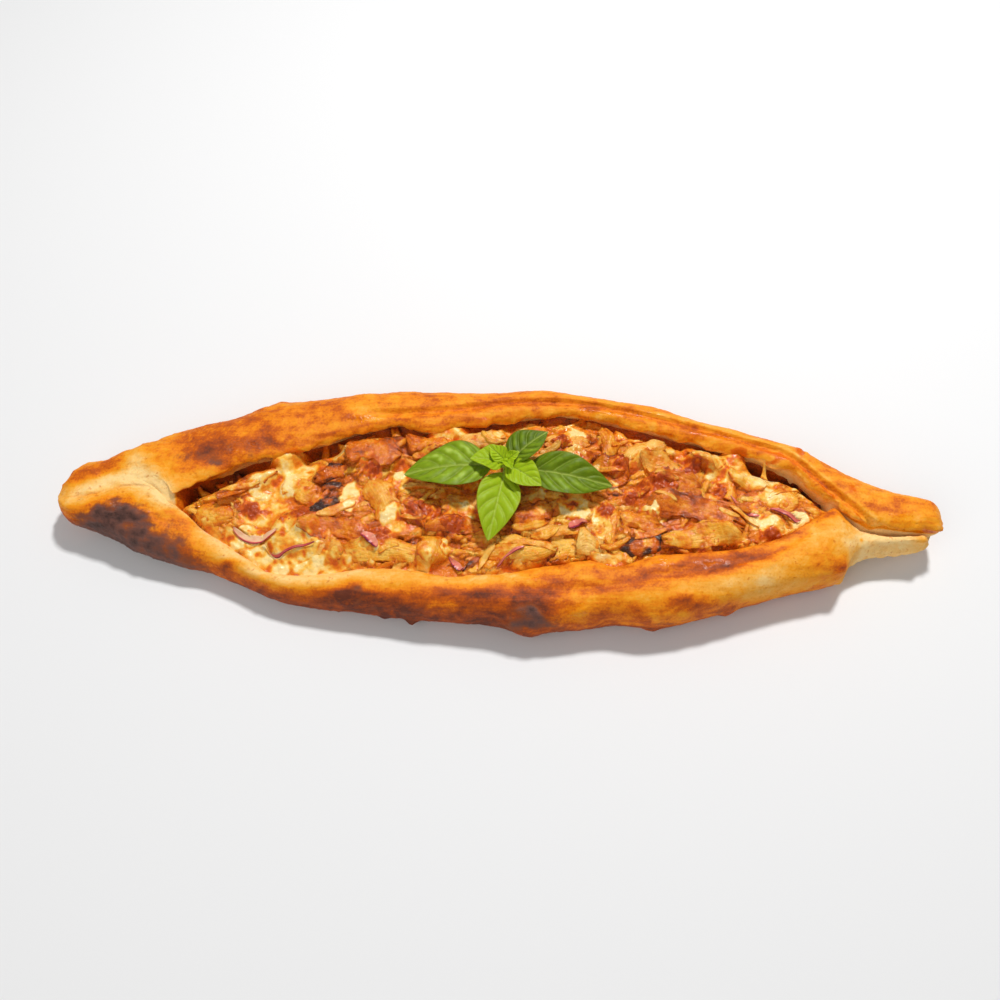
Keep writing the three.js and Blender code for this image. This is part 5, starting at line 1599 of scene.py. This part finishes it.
def leaf_body(bm, leaf, seed):
    """Adds one leaf to bm, quilted between its veins."""
    foot, stalk, tip, width, roll, cup, young, half_shades = leaf
    start, end = Vector((*STEM_AT, foot)), Vector(tip)
    forward = end - start
    length = forward.length
    forward.normalize()
    side = Vector((0, 0, 1)).cross(forward).normalized()
    side = Matrix.Rotation(math.radians(roll), 3, forward) @ side
    up = forward.cross(side)

    s, t = np.meshgrid(np.linspace(0, 1, LEAF_STEPS[0] + 1), np.linspace(-1, 1, LEAF_STEPS[1] + 1),
                       indexing="ij")
    blade = clamp01((s - stalk) / (1 - stalk))
    full = np.sin(math.pi * blade**0.72) ** 0.82
    stalk_width = STALK_HALF_WIDTH * np.sqrt(clamp01(np.minimum(s, 1 - s) / 0.03))
    half = np.maximum(stalk_width, width / 2 * full)
    noise = Noise(seed)
    flat = plan(s * length, t * width / 2)
    spread = np.abs(t)
    phase = (blade - VEIN_SLANT * spread**1.2) * VEINS + 0.5 * (t > 0)
    from_vein = np.abs(phase - np.rint(phase)) * 2
    vein = smooth(0.16, 0.0, from_vein) * smooth(1.0, 0.75, spread) * smooth(0.02, 0.1, blade)
    midrib = smooth(0.09, 0.0, spread * full)
    puff = np.sin(0.5 * math.pi * clamp01(from_vein)) ** 0.9 * spread**0.6 * (1 - spread**3)
    blade_on = smooth(0.0, 0.12, blade) * full
    arch = LEAF_ARCH * length * np.sin(math.pi * s)
    wave = 0.6 * np.sin(9 * s + 2 * t) * spread * full + 0.7 * noise(flat, 11) * spread**2
    rise = arch + cup * spread**1.4 * full + wave + LEAF_PUFF * width * puff * blade_on
    rise = rise - MIDRIB_DEPTH * midrib * blade_on - VEIN_DEPTH * vein * blade_on
    points = (np.array(start) + np.array(forward) * (s * length)[..., None]
              + np.array(side) * (t * half)[..., None] + np.array(up) * rise[..., None])
    thick = LEAF_THICKNESS * (1 - spread**6) * smooth(0, 0.03, s) * smooth(1, 0.97, s)
    under = points - np.array(up) * thick[..., None]

    # The dark mark is painted light and shade: lighter on the puffed crests, darker in the vein grooves and
    # on a leaf's shaded half.
    quilt = puff * blade_on + 0.2 * noise(flat + 9, 3, 2)
    dark = 0.40 + 0.42 * np.where(t > 0, half_shades[1], half_shades[0]) + 1.15 * (0.5 - quilt)
    youth = clamp01(young + 0.6 * smooth(0.35, 0.0, s))
    marks = {"vein": np.maximum(0.6 * vein, midrib), "young": youth, "dark": dark}
    around = {key: np.hstack([value, value[:, ::-1]]) for key, value in marks.items()}
    add_grid(bm, np.hstack([points, under[:, ::-1]]), **around)


def add_stem(bm):
    """Adds the short ribbed stem to bm and closes it and the leaves."""
    turn = np.linspace(0, 2 * math.pi, STEM_STEPS[1] + 1)[None, :]
    rise = np.linspace(0, 1, STEM_STEPS[0] + 1)[:, None]
    radius = STEM_RADIUS * (1 - 0.15 * rise) * (1 + 0.08 * np.cos(4 * turn))
    x = STEM_AT[0] + radius * np.cos(turn)
    y = STEM_AT[1] + radius * np.sin(turn)
    stem = np.stack(np.broadcast_arrays(x, y, lerp(STEM_FROM, STEM_TO, rise)), axis=-1)
    add_grid(bm, stem, vein=0.4, young=0.7, dark=0.2)
    bmesh.ops.remove_doubles(bm, verts=bm.verts, dist=STEM_WELD)
    bmesh.ops.holes_fill(bm, edges=[e for e in bm.edges if e.is_boundary], sides=0)


def add_bud(bm):
    """Adds the bud of folded young leaves to bm."""
    sphere = bmesh.ops.create_uvsphere(bm, u_segments=BUD_STEPS[0], v_segments=BUD_STEPS[1], radius=0.5)
    young = bm.verts.layers.float["young"]
    for vert in sphere["verts"]:
        bud = Vector(vert.co)
        petal = 1 + 0.16 * math.cos(4 * math.atan2(bud.y, bud.x) + 9 * bud.z)
        scaled = [petal * bud.x * BUD_SIZE[0], petal * bud.y * BUD_SIZE[1], bud.z * BUD_SIZE[2]]
        vert.co = MM * (Vector(scaled) + Vector((*STEM_AT, BUD_MIDDLE)))
        vert[young] = 1.0


def basil_material(settings):
    """Fresh basil: glossy, light along the veins and yellower towards the heart, with painted highlights and
    shade.
    """
    paint = Finish("basil_leaf")
    fine = paint.noise(0.0012, 3, 0.6)
    broad = paint.noise(0.007, 3, 0.5)
    # The ramp runs from the painted highlight through the leaf's green to the painted shade.
    colour = paint.ramp(paint.varied(paint.number("dark"), (broad, 0.3)), [
        (0.0, settings.leaf_highlight), (0.4, settings.leaf), (1.0, settings.leaf_shade_and_specks)])
    colour = paint.blend(paint.varied(paint.number("young"), (broad, 0.3)), colour, settings.young)
    vein = paint.math("MULTIPLY", paint.number("vein"), 0.5)
    colour = paint.blend(vein, colour, settings.vein)
    speck = paint.step(fine, 0.62, 0.75)
    colour = paint.blend(paint.math("MULTIPLY", speck, 0.18), colour, settings.leaf_shade_and_specks)
    rough = paint.varied(0.48, (fine, 0.3))
    return paint.shade(Base_Color=colour, Roughness=rough, Normal=paint.bump((fine, 0.00012)),
                       Subsurface_Weight=0.2, Subsurface_Radius=(0.0015, 0.003, 0.0006),
                       Subsurface_Scale=0.5, Specular_IOR_Level=0.2)


class PIDE_OT_basil(bpy.types.Operator):
    """Make the sprig of basil"""

    bl_idname = "pide.basil"
    bl_label = "Basil sprig"

    def execute(self, context):
        material = basil_material(context.scene.pide_garnish)
        bm = bmesh.new()
        for k, leaf in enumerate(LEAVES):
            leaf_body(bm, leaf, seed=400 + k)
        add_stem(bm)
        add_bud(bm)
        finish_body("basil", bm, material, ["basil_sprig"])
        return {"FINISHED"}


# ---------------------------------------------------------------- the stage

IMAGE_WIDTH = 1000  # pixels
VIEW_FOCUS = 960  # focal length in pixels
VIEW_CENTRE = (498, 506)  # the pixel where the point that the camera looks at shows
VIEW_ROLL = -1.5  # degrees
LOOK_AT_HEIGHT = 7.5
SENSOR_WIDTH = 36.0
# Metres: the width of each square light and where it hangs.
KEY_SIZE, KEY_PLACE = 0.12, (0.22, 0.52, 1.05)
FILL_SIZE, FILL_PLACE = 1.2, (-0.7, -0.9, 1.0)
FLOOR_HALF_WIDTH = 6.0  # metres
FLOOR_ROUGHNESS = 0.9
WHITE = (1.0, 1.0, 1.0, 1.0)


class PideStageSettings(bpy.types.PropertyGroup):
    """Camera, floor and studio light."""

    elevation: FloatProperty(name="Elevation", description="Camera angle above the floor",
                             default=math.radians(60), subtype="ANGLE")
    distance: FloatProperty(name="Distance", description="Camera distance", default=0.45, unit="LENGTH")
    floor: FloatVectorProperty(name="Floor", description="The pale floor", subtype="COLOR",
                               default=(0.82, 0.82, 0.82))
    key_power: FloatProperty(name="Key light", description="Power of the main light", default=11.5,
                             unit="POWER")
    fill_power: FloatProperty(name="Fill light", description="Power of the soft light", default=7.0,
                              unit="POWER")
    sky: FloatProperty(name="Sky", description="Brightness all round", default=0.26)


def area_light(name, power, size, place):
    """A square soft light at place, turned to the middle of the boat's underside."""
    light = bpy.data.lights.new(name, "AREA")
    light.energy = power
    light.size = size
    lamp = bpy.data.objects.new(name, light)
    lamp.location = place
    lamp.rotation_mode = "QUATERNION"
    lamp.rotation_quaternion = (-Vector(place)).to_track_quat("-Z", "Y")
    bpy.context.scene.collection.objects.link(lamp)
    return lamp


def add_floor(colour):
    """The pale floor under the boat."""
    paint = Finish("pale_floor")
    paint.shade(Base_Color=(*colour, 1.0), Roughness=FLOOR_ROUGHNESS)
    bm = bmesh.new()
    bmesh.ops.create_grid(bm, x_segments=8, y_segments=8, size=FLOOR_HALF_WIDTH)
    mesh = bpy.data.meshes.new("floor")
    bm.to_mesh(mesh)
    bm.free()
    mesh.materials.append(paint.material)
    floor = bpy.data.objects.new("floor", mesh)
    bpy.context.scene.collection.objects.link(floor)


def add_world(brightness):
    """Even white light from all round."""
    world = bpy.data.worlds.new("studio")
    world.use_nodes = True
    background = world.node_tree.nodes["Background"]
    background.inputs["Color"].default_value = WHITE
    background.inputs["Strength"].default_value = brightness
    bpy.context.scene.world = world


def add_camera(elevation, away):
    """A camera that looks down on the boat from the near side, a little rolled."""
    back = Vector((0, -math.cos(elevation), math.sin(elevation)))
    level = Vector((0, 0, 1)).cross(back).normalized()
    above = back.cross(level)
    roll = math.radians(VIEW_ROLL)
    right = math.cos(roll) * level - math.sin(roll) * above
    up = math.sin(roll) * level + math.cos(roll) * above
    lens = bpy.data.cameras.new("camera")
    lens.sensor_width = SENSOR_WIDTH
    lens.lens = lens.sensor_width * VIEW_FOCUS / IMAGE_WIDTH
    lens.shift_x = (IMAGE_WIDTH / 2 - VIEW_CENTRE[0]) / IMAGE_WIDTH
    lens.shift_y = (VIEW_CENTRE[1] - IMAGE_WIDTH / 2) / IMAGE_WIDTH
    camera = bpy.data.objects.new("camera", lens)
    turned_to_view = Matrix((right, up, back)).transposed().to_4x4()
    place = Vector((0, MM * LOOK_AT_HEIGHT, 0)) + away * back
    camera.matrix_world = Matrix.Translation(place) @ turned_to_view
    bpy.context.scene.collection.objects.link(camera)
    bpy.context.scene.camera = camera


class PIDE_OT_stage(bpy.types.Operator):
    """Make the floor, the studio light and the camera"""

    bl_idname = "pide.stage"
    bl_label = "Stage"

    def execute(self, context):
        settings = context.scene.pide_stage
        add_floor(settings.floor)
        area_light("key", settings.key_power, KEY_SIZE, KEY_PLACE)
        soft = area_light("fill", settings.fill_power, FILL_SIZE, FILL_PLACE)
        soft.visible_glossy = False
        add_world(settings.sky)
        context.scene.view_settings.view_transform = "Standard"
        add_camera(settings.elevation, settings.distance)
        return {"FINISHED"}


# ---------------------------------------------------------------- the add-on


class PIDE_PT_panel(bpy.types.Panel):
    """Lists the pieces of the pide"""

    bl_label = "Pide"
    bl_idname = "PIDE_PT_panel"
    bl_space_type = "VIEW_3D"
    bl_region_type = "UI"
    bl_category = "Pide"

    def draw(self, context):
        for operator in OPERATORS:
            self.layout.operator(operator.bl_idname)
        for name in SETTINGS:
            box = self.layout.box()
            for key in getattr(context.scene, name).bl_rna.properties.keys():
                if key not in ("rna_type", "name"):
                    box.prop(getattr(context.scene, name), key)


OPERATORS = [PIDE_OT_crust, PIDE_OT_chicken, PIDE_OT_onion, PIDE_OT_cheese, PIDE_OT_shreds,
             PIDE_OT_bridges, PIDE_OT_basil, PIDE_OT_stage]
SETTINGS = {"pide_crust": PideCrustSettings, "pide_chicken": PideChickenSettings,
            "pide_cheese": PideCheeseSettings, "pide_garnish": PideGarnishSettings,
            "pide_stage": PideStageSettings}


def register():
    for cls in (*SETTINGS.values(), *OPERATORS, PIDE_PT_panel):
        bpy.utils.register_class(cls)
    for name, cls in SETTINGS.items():
        setattr(bpy.types.Scene, name, PointerProperty(type=cls))


def unregister():
    for name in SETTINGS:
        delattr(bpy.types.Scene, name)
    for cls in (PIDE_PT_panel, *reversed(OPERATORS), *reversed(SETTINGS.values())):
        bpy.utils.unregister_class(cls)


def main():
    """Makes every piece and the stage."""
    register()
    bpy.ops.pide.crust()
    bpy.ops.pide.chicken()
    bpy.ops.pide.onion()
    bpy.ops.pide.cheese()
    bpy.ops.pide.shreds()
    bpy.ops.pide.bridges()
    bpy.ops.pide.basil()
    bpy.ops.pide.stage()


if __name__ == "__main__":
    main()
